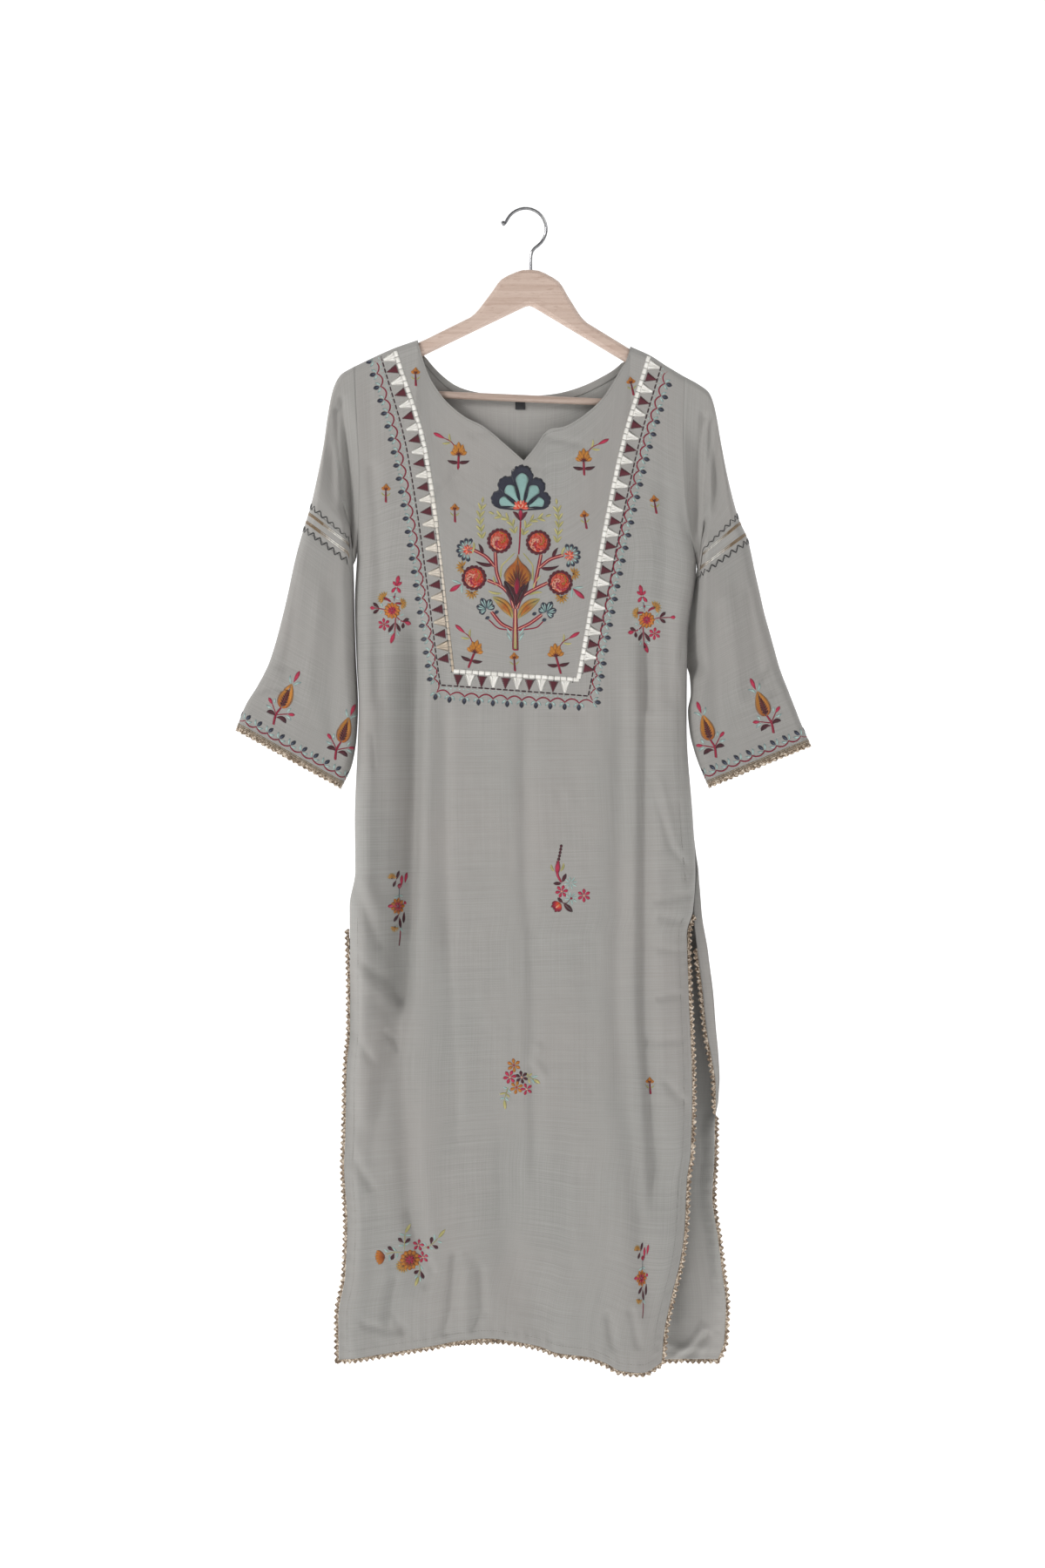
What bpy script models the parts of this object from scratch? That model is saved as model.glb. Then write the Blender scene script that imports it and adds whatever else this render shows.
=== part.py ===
"""Kurta tunic on a wooden hanger.

Long three-quarter-sleeve tunic with a notched round neck, bell cuffs, side slits and a
zigzag lace edging, hanging from a wooden coat hanger with a wire hook.

Metres, +Z up, the front faces -Y and the wearer's right is at -X. The origin is the inner
top of the hook, where a rail or a wall peg carries it. The tables below are in millimetres.
"""

import math

import bmesh
import bpy
from mathutils import Matrix, Vector

MM = 0.001

# ---- cloth ---------------------------------------------------------------------------
WALL = 1.5                 # thickness of the cloth wall
TRIM_WALL = 1.0            # thickness of lace, facing and label
SEAM_GAP = 0.60            # between two pieces at a seam
NECK_CORNER_CLEAR = 0.4    # more room where the shoulder seam meets the neckline
LAY_GAP = 0.35             # between a panel and what lies on it
ROLL_WIDTH = 16.0          # how far the side of a panel takes to turn into its seam
SHOULDER_RADIUS = 8.0      # drop over which the cloth turns over the hanger arm
BELLY_FULL = 4.0           # belly of the back panel at which its edge is fully turned
BELLY_CLEAR = 1.3          # how far a bellied edge starts outside the seam
BELLY_FORWARD = 5.0        # how far a bellied edge comes forward
SLIT_FADE = 90.0           # length below the slit's top over which the flaps open

# Shoulder seams, from the armhole to the neck: (x, z).
SHOULDER_LEFT = ((-196.0, -179.8), (-174.0, -169.3), (-152.0, -159.5), (-124.3, -149.8))
SHOULDER_RIGHT = ((119.8, -157.2), (146.0, -169.5), (160.0, -179.0), (182.0, -192.0))

UNDERARM_DROP = 219.0      # from the shoulder tip down to the underarm
SLIT_DROPS = (641.0, 612.0)  # from each shoulder tip down to the top of its slit
TURN_START = 150.0         # drop at which the armhole's edge starts to turn to the seam
EVEN_DROP = 260.0          # drop at which the columns stand evenly
NECK_FADE = 420.0          # drop at which the rows no longer follow the neckline
HEM_RISE_START = 700.0     # drop at which the rows start to follow the hem

# Side edges of the front panel: (z, x).
FRONT_LEFT = (
    (-179.8, -196.0), (-231.0, -194.0), (-311.0, -190.5), (-359.0, -191.5), (-398.8, -193.5),
    (-519.0, -193.5), (-620.0, -194.0), (-700.0, -196.0), (-759.0, -195.5),
    (-799.0, -202.0), (-859.0, -201.5),
    (-939.0, -201.5), (-989.0, -205.5), (-1059.0, -206.5), (-1099.0, -208.0),
    (-1159.0, -204.5), (-1219.0, -206.5), (-1269.0, -214.5), (-1318.0, -214.0),
)
FRONT_RIGHT = (
    (-192.0, 182.0), (-259.0, 180.0), (-315.0, 181.6), (-364.0, 186.0), (-411.0, 195.0),
    (-489.0, 185.0), (-593.0, 184.0), (-699.0, 191.0), (-759.0, 194.0), (-804.0, 191.0),
    (-830.0, 184.0), (-894.0, 186.0), (-1009.0, 190.0), (-1079.0, 188.5), (-1113.0, 184.0),
    (-1166.0, 181.5), (-1204.0, 176.5), (-1243.0, 167.0), (-1289.0, 157.5), (-1321.0, 155.0),
)
# Side edges of the back panel below the slits, and how far its cloth bellies out past
# the right edge before it turns forward: (z, x).
BACK_LEFT = ((-821.0, -202.0), (-859.0, -197.0), (-1059.0, -201.0), (-1219.0, -201.0),
             (-1318.0, -206.0))
BACK_RIGHT = (
    (-804.0, 191.0), (-855.0, 196.0), (-894.0, 201.0), (-942.0, 206.0), (-980.0, 213.0),
    (-1005.0, 216.5), (-1079.0, 217.0), (-1135.0, 214.5), (-1179.0, 220.5), (-1219.0, 225.5),
    (-1259.0, 230.0), (-1299.0, 228.5), (-1321.0, 221.0),
)
BACK_LEFT_JOIN = 10        # rows of the front's edges that the back's share
BACK_RIGHT_JOIN = 9
BACK_RIGHT_BELLY = ((-700.0, 0.0), (-759.0, 2.5), (-804.0, 9.0), (-855.0, 12.0),
                    (-894.0, 12.0), (-942.0, 11.0), (-980.0, 7.0), (-1005.0, 4.0),
                    (-1060.0, 0.0))

# Necklines and hems from left to right: (x, z).
FRONT_NECK = (
    (-124.3, -149.8), (-123.6, -152.9), (-122.0, -159.0), (-113.5, -185.5), (-99.0, -211.0),
    (-75.0, -235.0), (-44.0, -252.0), (-27.0, -267.0), (-2.5, -289.0), (14.0, -269.0),
    (20.0, -255.0), (52.0, -249.0), (73.0, -235.0), (89.0, -217.0), (109.0, -185.5),
    (117.6, -166.0), (119.2, -160.0), (119.8, -157.2),
)
BACK_NECK = (
    (-124.3, -149.8), (-123.6, -152.9), (-121.6, -159.0), (-113.5, -169.0), (-85.0, -190.0),
    (-45.0, -206.0), (4.0, -212.0), (50.0, -207.0), (85.0, -194.0), (111.0, -175.6),
    (117.6, -166.0), (119.2, -160.0), (119.8, -157.2),
)
FRONT_HEM = (
    (-214.0, -1318.0), (-163.0, -1310.5), (-112.0, -1302.0), (-71.0, -1295.0),
    (-43.0, -1293.0), (-18.0, -1296.0), (16.0, -1303.0), (34.0, -1309.5), (72.0, -1314.0),
    (92.0, -1321.0), (107.0, -1329.0), (134.0, -1331.5), (155.0, -1321.0),
)
BACK_HEM = ((-206.0, -1318.0), (-100.0, -1315.0), (20.0, -1317.0), (140.0, -1322.0),
            (221.0, -1321.0))

# Half depth of the tunic, front and back, by the drop below the shoulder: (drop, y).
FRONT_DEPTH = ((0.0, 8.5), (60.0, 11.0), (150.0, 17.0), (300.0, 21.0), (520.0, 22.0),
               (820.0, 20.0), (1140.0, 16.0))
BACK_DEPTH = ((0.0, 8.5), (60.0, 10.5), (150.0, 15.0), (300.0, 18.0), (600.0, 19.0),
              (1140.0, 15.0))
# Half depth of the panel's edge: armhole, side seam, then the open slit: (drop, y).
ARMHOLE_DEPTH = ((0.0, 8.5), (45.0, 11.5), (115.0, 15.0), (150.0, 15.5), (178.0, 14.0),
                 (198.0, 10.5), (211.0, 5.5), (219.0, 0.0))
FLAP_DEPTH = ((0.0, 0.0), (35.0, 3.5), (100.0, 8.0), (250.0, 11.0), (520.0, 12.0))
SIDE_SET = ((-640.0, 0.0), (-804.0, -5.0), (-1005.0, -4.0), (-1100.0, 0.0))

# Drops of the grid rows below the shoulder tip, from the shoulder seam to the underarm.
ROLL_ROWS = (0.0, 0.6, 2.3, 4.9, 8.0)
ARMHOLE_ROWS = (20.0, 45.0, 80.0, 115.0, 150.0, 178.0, 198.0, 211.0, 219.0)
ROWS_TO_SLIT = 11
ROWS_BELOW_SLIT = 13
ROLL_COLUMNS = (0.0, 0.12, 0.5, 1.0)     # share of the roll, from the edge inwards

# Each panel is one length of cloth, modelled in three so that every solid is simple:
# (name, first row, last row). The skirt starts at the top of the slits.
PANEL_PARTS = (("chest", 0, 15), ("waist", 15, 24), ("skirt", 24, 37))

# Folds: depth is towards the front where positive, width is to either side of the
# crest, and the line is its (z, x).
FRONT_FOLDS = (
    # name, depth, width, line
    ("left_deep", -13.0, 12.0, ((-480.0, -134.0), (-560.0, -143.0), (-814.0, -143.0),
                                (-1039.0, -151.5), (-1139.0, -165.0))),
    ("left_edge", 5.0, 13.0, ((-620.0, -172.0), (-820.0, -170.0), (-1100.0, -180.0),
                              (-1300.0, -190.0))),
    ("left_inner", -6.0, 14.0, ((-539.0, -100.5), (-754.0, -99.0), (-819.0, -94.0),
                                (-1039.0, -84.0), (-1200.0, -75.0))),
    ("left_roll", 4.0, 18.0, ((-539.0, -120.0), (-819.0, -118.0), (-1039.0, -116.0),
                              (-1300.0, -118.0))),
    ("middle", 5.0, 22.0, ((-560.0, -4.0), (-819.0, -4.0), (-889.0, 6.0), (-1150.0, 16.0))),
    ("hem_hollow", -5.0, 26.0, ((-1080.0, -50.0), (-1330.0, -43.0))),
    ("right_soft", -6.0, 14.0, ((-600.0, 86.0), (-779.0, 86.0), (-900.0, 99.0),
                                (-1039.0, 111.0), (-1189.0, 123.0), (-1290.0, 128.0))),
    ("right_crest", 5.0, 12.0, ((-539.0, 112.0), (-889.0, 117.0), (-1039.0, 127.0),
                                (-1150.0, 136.0))),
    ("right_sharp", -10.0, 10.0, ((-495.0, 136.0), (-889.0, 133.0), (-1039.0, 142.0),
                                 (-1139.0, 147.0), (-1230.0, 158.0))),
    ("hem_swell", 7.0, 24.0, ((-1180.0, 100.0), (-1335.0, 122.0))),
)
BACK_FOLDS = (
    ("back_left", 7.0, 15.0, ((-560.0, -128.0), (-1000.0, -140.0), (-1330.0, -150.0))),
    ("back_left_inner", -6.0, 18.0, ((-620.0, -90.0), (-1330.0, -98.0))),
    ("back_middle", 6.0, 18.0, ((-480.0, -28.0), (-900.0, -36.0), (-1330.0, -44.0))),
    ("back_right_inner", -6.0, 18.0, ((-640.0, 30.0), (-1330.0, 26.0))),
    ("back_right", 7.0, 15.0, ((-560.0, 92.0), (-1000.0, 104.0), (-1330.0, 112.0))),
    ("back_side", -6.0, 15.0, ((-820.0, 150.0), (-1330.0, 168.0))),
)
FOLD_FADE = 60.0

# Sleeves by the distance down the outer edge from the shoulder tip. outer and inner are
# the two edges as seen from the front, half is the depth to either side, and bend is how
# much of the ring's fall happens in the last tenth of its width, beside the body.
SLEEVE_LEFT = (
    # down, outer x, outer z, inner x, inner z, half, bend
    (0.0, -196.0, -180.0, -193.5, -399.0, 13.0, 0.00),
    (20.0, -213.0, -190.5, -195.5, -401.0, 6.5, 0.00),
    (39.5, -221.5, -208.0, -196.5, -403.0, 15.0, 0.05),
    (68.0, -227.0, -236.0, -197.5, -405.0, 20.0, 0.15),
    (103.0, -232.0, -271.0, -198.5, -407.0, 23.0, 0.30),
    (140.0, -239.0, -307.0, -199.0, -409.0, 25.0, 0.42),
    (176.0, -247.0, -342.0, -198.5, -412.0, 26.0, 0.48),
    (201.0, -254.5, -366.0, -198.0, -432.0, 26.0, 0.42),
    (232.0, -263.0, -396.0, -197.5, -459.0, 25.0, 0.30),
    (296.0, -277.0, -459.0, -197.0, -514.0, 22.0, 0.12),
    (358.0, -294.0, -519.0, -197.0, -570.0, 18.0, 0.00),
    (389.0, -308.0, -547.0, -198.5, -602.0, 15.0, 0.00),
    (414.0, -321.0, -568.0, -202.0, -636.0, 13.0, 0.00),
    (441.0, -331.0, -592.5, -210.5, -659.5, 12.0, 0.00),
)
SLEEVE_RIGHT = (
    # down, outer x, outer z, inner x, inner z, half, bend
    (0.0, 182.0, -192.0, 195.0, -411.0, 13.0, 0.00),
    (19.5, 199.0, -201.5, 197.0, -412.5, 6.5, 0.00),
    (33.5, 210.0, -210.5, 197.5, -414.0, 14.0, 0.05),
    (51.0, 216.0, -227.0, 198.0, -415.0, 18.0, 0.12),
    (96.0, 224.0, -271.0, 199.0, -417.0, 22.0, 0.25),
    (133.0, 231.0, -307.0, 199.5, -419.0, 24.0, 0.35),
    (180.0, 243.0, -353.0, 200.0, -422.0, 26.0, 0.42),
    (209.5, 254.5, -380.0, 200.0, -447.0, 26.0, 0.38),
    (244.0, 262.0, -414.0, 199.0, -474.0, 25.0, 0.28),
    (290.0, 272.0, -459.0, 197.5, -509.0, 23.0, 0.15),
    (365.0, 292.0, -531.0, 197.5, -579.0, 18.0, 0.00),
    (402.0, 306.0, -565.0, 200.5, -611.0, 15.0, 0.00),
    (427.0, 315.0, -589.0, 204.0, -636.0, 13.0, 0.00),
    (451.0, 325.0, -611.0, 208.5, -658.5, 12.0, 0.00),
)
BAND_LEFT = (176.0, 201.0)               # where the inset band starts and ends
BAND_RIGHT = (180.0, 209.5)
CAP_BLEND = 32.0                         # length over which the cap leaves the armhole
UNDERARM_CLEAR = 1.3                     # more room where the body's wall turns away
UNDERARM_SPAN = (0.6, 0.9)               # shares of the armhole over which it opens
CAP_END = 120.0                          # length of the cap
CAP_HALF = 10.5                          # half depth of the cap at its two ends
CAP_OUTER = (35.0, 80.0)                 # distances from the edges over which the cap fills
CAP_INNER = (25.0, 65.0)
BEND_START = 0.9                         # share of a ring's width where its bend starts
BEND_FADE = 0.1                          # bend below which a ring is nearly straight
OUTER_ROUND = 0.6                        # radius of a sleeve's edges, as a share of half
INNER_ROUND = 0.8
PROBE = 2.0                              # length over which the cloth's direction is taken

# ---- lace ----------------------------------------------------------------------------
LACE_HEAD = 1.6                          # width of the lace's heading
LACE_DEPTH = 5.0                         # heading and tooth together
LACE_PITCH = 7.0
LACE_START = 0.4                         # share of a row below the slit's top
LACE_START_BELLY = 1.6                   # the same where the back's edge turns forward
LACE_TURN_ROWS = 3.0                     # rows over which the lace follows the cloth's turn

# ---- hanger --------------------------------------------------------------------------
TILT = math.radians(2.6)                 # the wood hangs this much lower on the right
APEX = (5.5, -68.7)                      # top of the wood, (x, z)
WOOD_THICKNESS = 12.0
WOOD_EDGE = 4.5
# Half outline of the wood from its top to its tip and back to the notch, (x, z) from APEX.
WOOD_OUTLINE = (
    (0.0, 0.0), (9.0, -0.7), (16.0, -3.2), (26.0, -8.0), (33.0, -12.5), (37.5, -18.0),
    (43.0, -27.0), (50.5, -38.0), (57.0, -47.5), (62.0, -53.5), (67.0, -57.9),
    (118.0, -86.0), (190.0, -122.5), (197.0, -126.5), (201.5, -132.5), (203.5, -140.0),
    (202.5, -150.0), (198.0, -157.0), (190.0, -159.5), (182.0, -156.0), (177.0, -148.0),
    (174.0, -138.0), (168.0, -130.7),
    (5.0, -43.0), (0.0, -41.5),
)
WOOD_MIRRORED = slice(-2, 0, -1)         # its points that have a twin on the other side
BAR_RADIUS = 4.2
BAR_HALF = 195.0
BAR_DROP = 148.0
WIRE_RADIUS = 1.8
HOOK_RADIUS = 23.7                       # to the wire's centre line
HOOK_CENTRE = (-0.5, -21.9)
HOOK_SWEEP = (math.radians(152.0), math.radians(-52.0))
HOOK_STEPS = 18
# The wire before and after its arc: (x, z, radius as a share of the wire's).
HOOK_BEAD = ((-27.8, -16.4, 1.3), (-26.6, -15.7, 1.75), (-25.0, -14.9, 1.6), (-23.4, -14.2, 1.0))
HOOK_NECK = ((9.6, -44.2, 1.0), (6.9, -48.0, 1.0), (5.7, -52.5, 1.0), (5.5, -58.0, 1.0))
STEM_X = 5.5
STEM_IN_WOOD = 14.0
STEM_CLEARANCE = 0.3
SIDES = 14                               # around the bar and the drilled holes

# ---- trims at the neck ---------------------------------------------------------------
FACING_WIDTH = 9.0
FACING_COLUMNS = (8, 14)                 # columns of the back panel that it runs between
FACING_ROWS = 3
LABEL_X = -7.0
LABEL_SIZE = (12.0, 16.0)
LABEL_TOP = -214.5
LABEL_POINTS = 3                         # points along each side of the label

# ---- colours -------------------------------------------------------------------------
CLOTH_COLOUR = (0.36, 0.35, 0.31)
BAND_COLOUR = (0.42, 0.40, 0.34)
GOLD_COLOUR = (0.56, 0.38, 0.16)
WOOD_COLOUR = (0.58, 0.38, 0.27)
STEEL_COLOUR = (0.62, 0.62, 0.63)
LABEL_COLOUR = (0.03, 0.03, 0.035)


def clear_scene():
    for item in list(bpy.data.objects):
        bpy.data.objects.remove(item, do_unlink=True)


def new_collection(name):
    group = bpy.data.collections.new(name)
    bpy.context.scene.collection.children.link(group)
    return group


def new_material(name, colour, roughness, metallic=0.0):
    material = bpy.data.materials.new(name)
    material.use_nodes = True
    shader = material.node_tree.nodes["Principled BSDF"]
    shader.inputs["Base Color"].default_value = (*colour, 1.0)
    shader.inputs["Roughness"].default_value = roughness
    shader.inputs["Metallic"].default_value = metallic
    return material


# ---- curves through table points -----------------------------------------------------
def through(points, at):
    """Value at `at` on the smooth curve through (position, value) points.

    The curve never overshoots its points, and stays level beyond its ends.
    """
    rows = points if points[0][0] < points[-1][0] else points[::-1]
    if at <= rows[0][0]:
        return rows[0][1]
    if at >= rows[-1][0]:
        return rows[-1][1]
    spans = [b[0] - a[0] for a, b in zip(rows, rows[1:])]
    slopes = [(b[1] - a[1]) / span for a, b, span in zip(rows, rows[1:], spans)]
    index = next(i for i in range(len(spans)) if at <= rows[i + 1][0])

    def tangent(i):
        if i == 0:
            return slopes[0]
        if i == len(slopes):
            return slopes[-1]
        before, after = slopes[i - 1], slopes[i]
        if before * after <= 0.0:
            return 0.0
        return 2.0 * before * after / (before + after)

    span = spans[index]
    t = (at - rows[index][0]) / span
    low, high = rows[index][1], rows[index + 1][1]
    return (low * (1 + 2 * t) * (1 - t) ** 2 + tangent(index) * span * t * (1 - t) ** 2
            + high * t * t * (3 - 2 * t) + tangent(index + 1) * span * t * t * (t - 1))


def straight(points, at):
    """Value at `at` on the straight runs between (position, value) points."""
    for (a, low), (b, high) in zip(points, points[1:]):
        if at <= b:
            share = min(max((at - a) / (b - a), 0.0), 1.0)
            return low + (high - low) * share
    return points[-1][1]


def ease(value):
    t = min(max(value, 0.0), 1.0)
    return t * t * (3.0 - 2.0 * t)


def ease_over(span, value):
    """0 before the span's start, 1 past its end, and an even turn between them."""
    return ease((value - span[0]) / (span[1] - span[0]))


def mix(a, b, share):
    return a + (b - a) * share


def turn(drop, radius):
    """Share of the full depth that cloth has reached `drop` below the top of a turn."""
    t = min(max(drop / radius, 0.0), 1.0)
    return math.sqrt(1.0 - (1.0 - t) ** 2)


# ---- body panels ---------------------------------------------------------------------
def fold_depth(folds, x, z):
    """How far the folds push the cloth forward at (x, z)."""
    total = 0.0
    for _name, depth, width, line in folds:
        top, bottom = line[0][0], line[-1][0]
        fade = ease((top + FOLD_FADE - z) / (2 * FOLD_FADE))
        fade *= ease((z - bottom + FOLD_FADE) / FOLD_FADE)
        if fade > 0.0:
            total += depth * fade * math.exp(-((x - through(line, z)) / width) ** 2)
    return total


def shoulder_z(x):
    """Height of the ridge over the hanger arms, carried straight across the neck."""
    return straight(SHOULDER_LEFT + SHOULDER_RIGHT, x)


class Panel:
    """Front or back of the body, as a grid of rows down and columns across.

    facing is -1 for the front and +1 for the back.
    """

    def __init__(self, facing, neck, hem, folds, depth, edges, belly):
        self.facing = facing
        self.hem = hem
        self.folds = folds
        self.depth = depth
        self.edges = edges
        self.belly = belly
        self.tips = (SHOULDER_LEFT[0], SHOULDER_RIGHT[-1])
        self.top = SHOULDER_LEFT[:-1] + neck + SHOULDER_RIGHT[1:]
        self.drops = (self.row_drops(0), self.row_drops(1))
        self.flat = [self.tips[0][0] + ROLL_WIDTH, SHOULDER_LEFT[2][0]]
        self.flat += [x for x, _z in neck]
        self.flat += [SHOULDER_RIGHT[1][0], self.tips[1][0] - ROLL_WIDTH]
        self.roll = len(ROLL_COLUMNS) - 1
        self.last_column = len(self.flat) - 1 + 2 * self.roll
        self.last_row = len(self.drops[0]) - 1

    def row_drops(self, side):
        """Drops of the rows below the shoulder tip at one side edge."""
        slit = SLIT_DROPS[side]
        length = self.tips[side][1] - (self.hem[0], self.hem[-1])[side][1]
        drops = list(ROLL_ROWS + ARMHOLE_ROWS)
        drops += [mix(UNDERARM_DROP, slit, (i + 1) / ROWS_TO_SLIT) for i in range(ROWS_TO_SLIT)]
        drops += [mix(slit, length, (i + 1) / ROWS_BELOW_SLIT) for i in range(ROWS_BELOW_SLIT)]
        return drops

    def edge(self, side, row):
        """Edge point of a row, its belly, and how fully the panel turns into a seam."""
        drop = self.drops[side][row]
        z = self.tips[side][1] - drop
        x = through(self.edges[side], z)
        below = drop - SLIT_DROPS[side]
        centre = through(SIDE_SET, z) if side else 0.0
        belly = through(self.belly, z) if side and self.belly else 0.0
        if drop < UNDERARM_DROP:
            half = straight(ARMHOLE_DEPTH, drop) * turn(drop, SHOULDER_RADIUS)
            turned = ease((drop - TURN_START) / (UNDERARM_DROP - TURN_START))
        elif below <= 0.0:
            half, turned = 0.0, 1.0
        else:
            half = through(FLAP_DEPTH, below) * (1.0 - ease(belly / BELLY_FULL))
            turned = 1.0 - ease(below / SLIT_FADE)
        y = centre + self.facing * max(half, SEAM_GAP / 2)
        return x, y, z, belly, turned

    def roll_x(self, side, edge, share):
        """x in the roll beside an edge, `share` of the way in from it."""
        outward = 1.0 if side else -1.0
        x, _y, _z, belly, turned = edge
        if belly > 0.0:
            start = -math.acos(1.0 - belly / ROLL_WIDTH)
            angle = mix(start, math.pi / 2, share)
            clear = BELLY_CLEAR * min(belly, 1.0)
            return x + belly + clear - ROLL_WIDTH * (1.0 - math.cos(angle))
        arc = 1.0 - math.cos(share * math.pi / 2)
        return x - outward * ROLL_WIDTH * mix(share, arc, turned)

    def roll_y(self, edge, share, flat_y):
        """y in the roll beside an edge, from the edge's own depth to the flat's."""
        _x, y, _z, belly, turned = edge
        if belly > 0.0:
            start = -math.acos(1.0 - belly / ROLL_WIDTH)
            angle = mix(start, math.pi / 2, share)
            forward = BELLY_FORWARD * ease(belly / BELLY_FULL)
            centre = y - forward * math.sin(start)
            if angle < 0.0:
                return centre + forward * math.sin(angle)
            return mix(centre, flat_y, math.sin(angle))
        return mix(y, flat_y, mix(ease(share), math.sin(share * math.pi / 2), turned))

    def flat_x(self, row, index, low, high):
        """x between the rolls: on the neckline's points at the top, evenly lower down."""
        x_top = self.flat[index]
        placed = mix(low, high, (x_top - self.flat[0]) / (self.flat[-1] - self.flat[0]))
        even = mix(low, high, index / (len(self.flat) - 1))
        return mix(placed, even, ease(self.drops[0][row] / EVEN_DROP))

    def point(self, row, column):
        left, right = self.edge(0, row), self.edge(1, row)
        edge = None
        if column < self.roll:
            edge, share = left, ROLL_COLUMNS[column]
            x = self.roll_x(0, left, share)
        elif column > self.last_column - self.roll:
            edge, share = right, ROLL_COLUMNS[self.last_column - column]
            x = self.roll_x(1, right, share)
        else:
            low = self.roll_x(0, left, 1.0)
            high = self.roll_x(1, right, 1.0)
            x = self.flat_x(row, column - self.roll, low, high)
        z = self.height(row, column, x, left, right)
        drop = max(mix(self.tips[0][1], self.tips[1][1], self.across(x)) - z, 0.0)
        y = self.facing * through(self.depth, drop) - fold_depth(self.folds, x, z)
        if row <= len(ROLL_ROWS):
            y *= turn(shoulder_z(x) - z, SHOULDER_RADIUS)
        if edge:
            y = self.roll_y(edge, share, y)
        if row == 0:
            corner = min(abs(x - SHOULDER_LEFT[-1][0]), abs(x - SHOULDER_RIGHT[0][0])) < 1.0
            least = SEAM_GAP / 2 + (NECK_CORNER_CLEAR if corner else 0.0)
            y = self.facing * max(self.facing * y, least)
        return Vector((x, y, z))

    def across(self, x):
        return min(max((x - self.tips[0][0]) / (self.tips[1][0] - self.tips[0][0]), 0.0), 1.0)

    def height(self, row, column, x, left, right):
        """z: level between the edges, bent to the neckline above and the hem below."""
        share = min(max((x - left[0]) / (right[0] - left[0]), 0.0), 1.0)
        drop = self.drops[0][row]
        level = mix(left[2], right[2], share)
        if self.roll <= column <= self.last_column - self.roll:
            x_top = self.flat[column - self.roll]
        else:
            x_top = mix(self.tips[0][0], self.tips[1][0], share)
        top_line = mix(self.tips[0][1], self.tips[1][1], self.across(x_top))
        top_bend = straight(self.top, x_top) - top_line
        hem_line = mix(self.hem[0][1], self.hem[-1][1], share)
        hem_bend = through(self.hem, mix(self.hem[0][0], self.hem[-1][0], share)) - hem_line
        fall = 1.0 - ease(drop / NECK_FADE)
        rise = ease((drop - HEM_RISE_START) / (self.drops[0][-1] - HEM_RISE_START))
        return level + top_bend * fall + hem_bend * rise

    def grid(self):
        return [[self.point(row, column) for column in range(self.last_column + 1)]
                for row in range(self.last_row + 1)]


# ---- sleeves -------------------------------------------------------------------------
def station(table, down):
    """Row of a sleeve table at a distance down the sleeve, by smooth curves."""
    return [through([(row[0], row[i]) for row in table], down) for i in range(1, len(table[0]))]


def sleeve_ring(table, armhole, outward, down):
    """Loop of a sleeve from its outer edge down the front and up the back.

    armhole is the loop of the body's own armhole points, which the first ring follows.
    """
    half_loop = len(armhole) // 2
    shares = [drop / UNDERARM_DROP for drop in ROLL_ROWS + ARMHOLE_ROWS]
    ring = []
    for i, home in enumerate(armhole):
        facing = -1.0 if i <= half_loop else 1.0
        share = shares[i if i <= half_loop else len(armhole) - i]
        placed = sleeve_point(table, down, share, facing)
        start = sleeve_point(table, 0.0, share, facing)
        hold = 1.0 - ease(down / CAP_BLEND)
        aside = SEAM_GAP + UNDERARM_CLEAR * ease_over(UNDERARM_SPAN, share)
        seat = home + Vector((outward * aside, 0.0, 0.0))
        ring.append(placed + (seat - start) * hold)
    return ring


def ring_ways(table, armhole, outward, down):
    """Direction down the cloth, square to the ring, at each point of a ring."""
    ring = sleeve_ring(table, armhole, outward, down)
    above = sleeve_ring(table, armhole, outward, down - PROBE)
    below = sleeve_ring(table, armhole, outward, down + PROBE) if down < table[-1][0] else ring
    ways = []
    for i in range(len(ring)):
        along = (ring[(i + 1) % len(ring)] - ring[i - 1]).normalized()
        way = below[i] - above[i]
        ways.append((way - along * way.dot(along)).normalized())
    return ring, ways


def sleeve_rings(table, armhole, outward, distances, seams):
    """Rings of one piece of a sleeve, its ends drawn back from the seams at either side."""
    rings = [sleeve_ring(table, armhole, outward, down) for down in distances]
    for end, pull in seams:
        ring, ways = ring_ways(table, armhole, outward, distances[end])
        rings[end] = [point + way * pull for point, way in zip(ring, ways)]
    return rings


def sleeve_point(table, down, share, facing):
    """Point of a sleeve, `share` of the way across from its outer to its inner edge."""
    outer_x, outer_z, inner_x, inner_z, half, bend = station(table, down)
    if share <= BEND_START:
        bent = share / BEND_START * (1.0 - bend)
    else:
        bent = 1.0 - bend * (1.0 - share) / (1.0 - BEND_START)
    fallen = mix(share, bent, min(bend / BEND_FADE, 1.0))
    width = math.hypot(outer_x - inner_x, outer_z - inner_z)
    from_outer, from_inner = share * width, (1.0 - share) * width
    if down < CAP_END:
        ends = ease_over(CAP_OUTER, from_outer) * ease_over(CAP_INNER, from_inner)
        half = mix(CAP_HALF, half, ends)
    y = half * turn(from_outer, max(SHOULDER_RADIUS, OUTER_ROUND * half))
    y *= turn(from_inner, INNER_ROUND * half)
    return Vector((mix(outer_x, inner_x, share), facing * y, mix(outer_z, inner_z, fallen)))


def armhole_loop(front, back, column):
    """Points of an armhole: down the front panel's edge and up the back panel's."""
    rows = range(len(ROLL_ROWS + ARMHOLE_ROWS))
    down = [front[row][column].copy() for row in rows]
    up = [back[row][column].copy() for row in rows]
    for end in (0, -1):
        middle = (down[end] + up[end]) / 2
        down[end] = middle
    return down + up[-2:0:-1]


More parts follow.
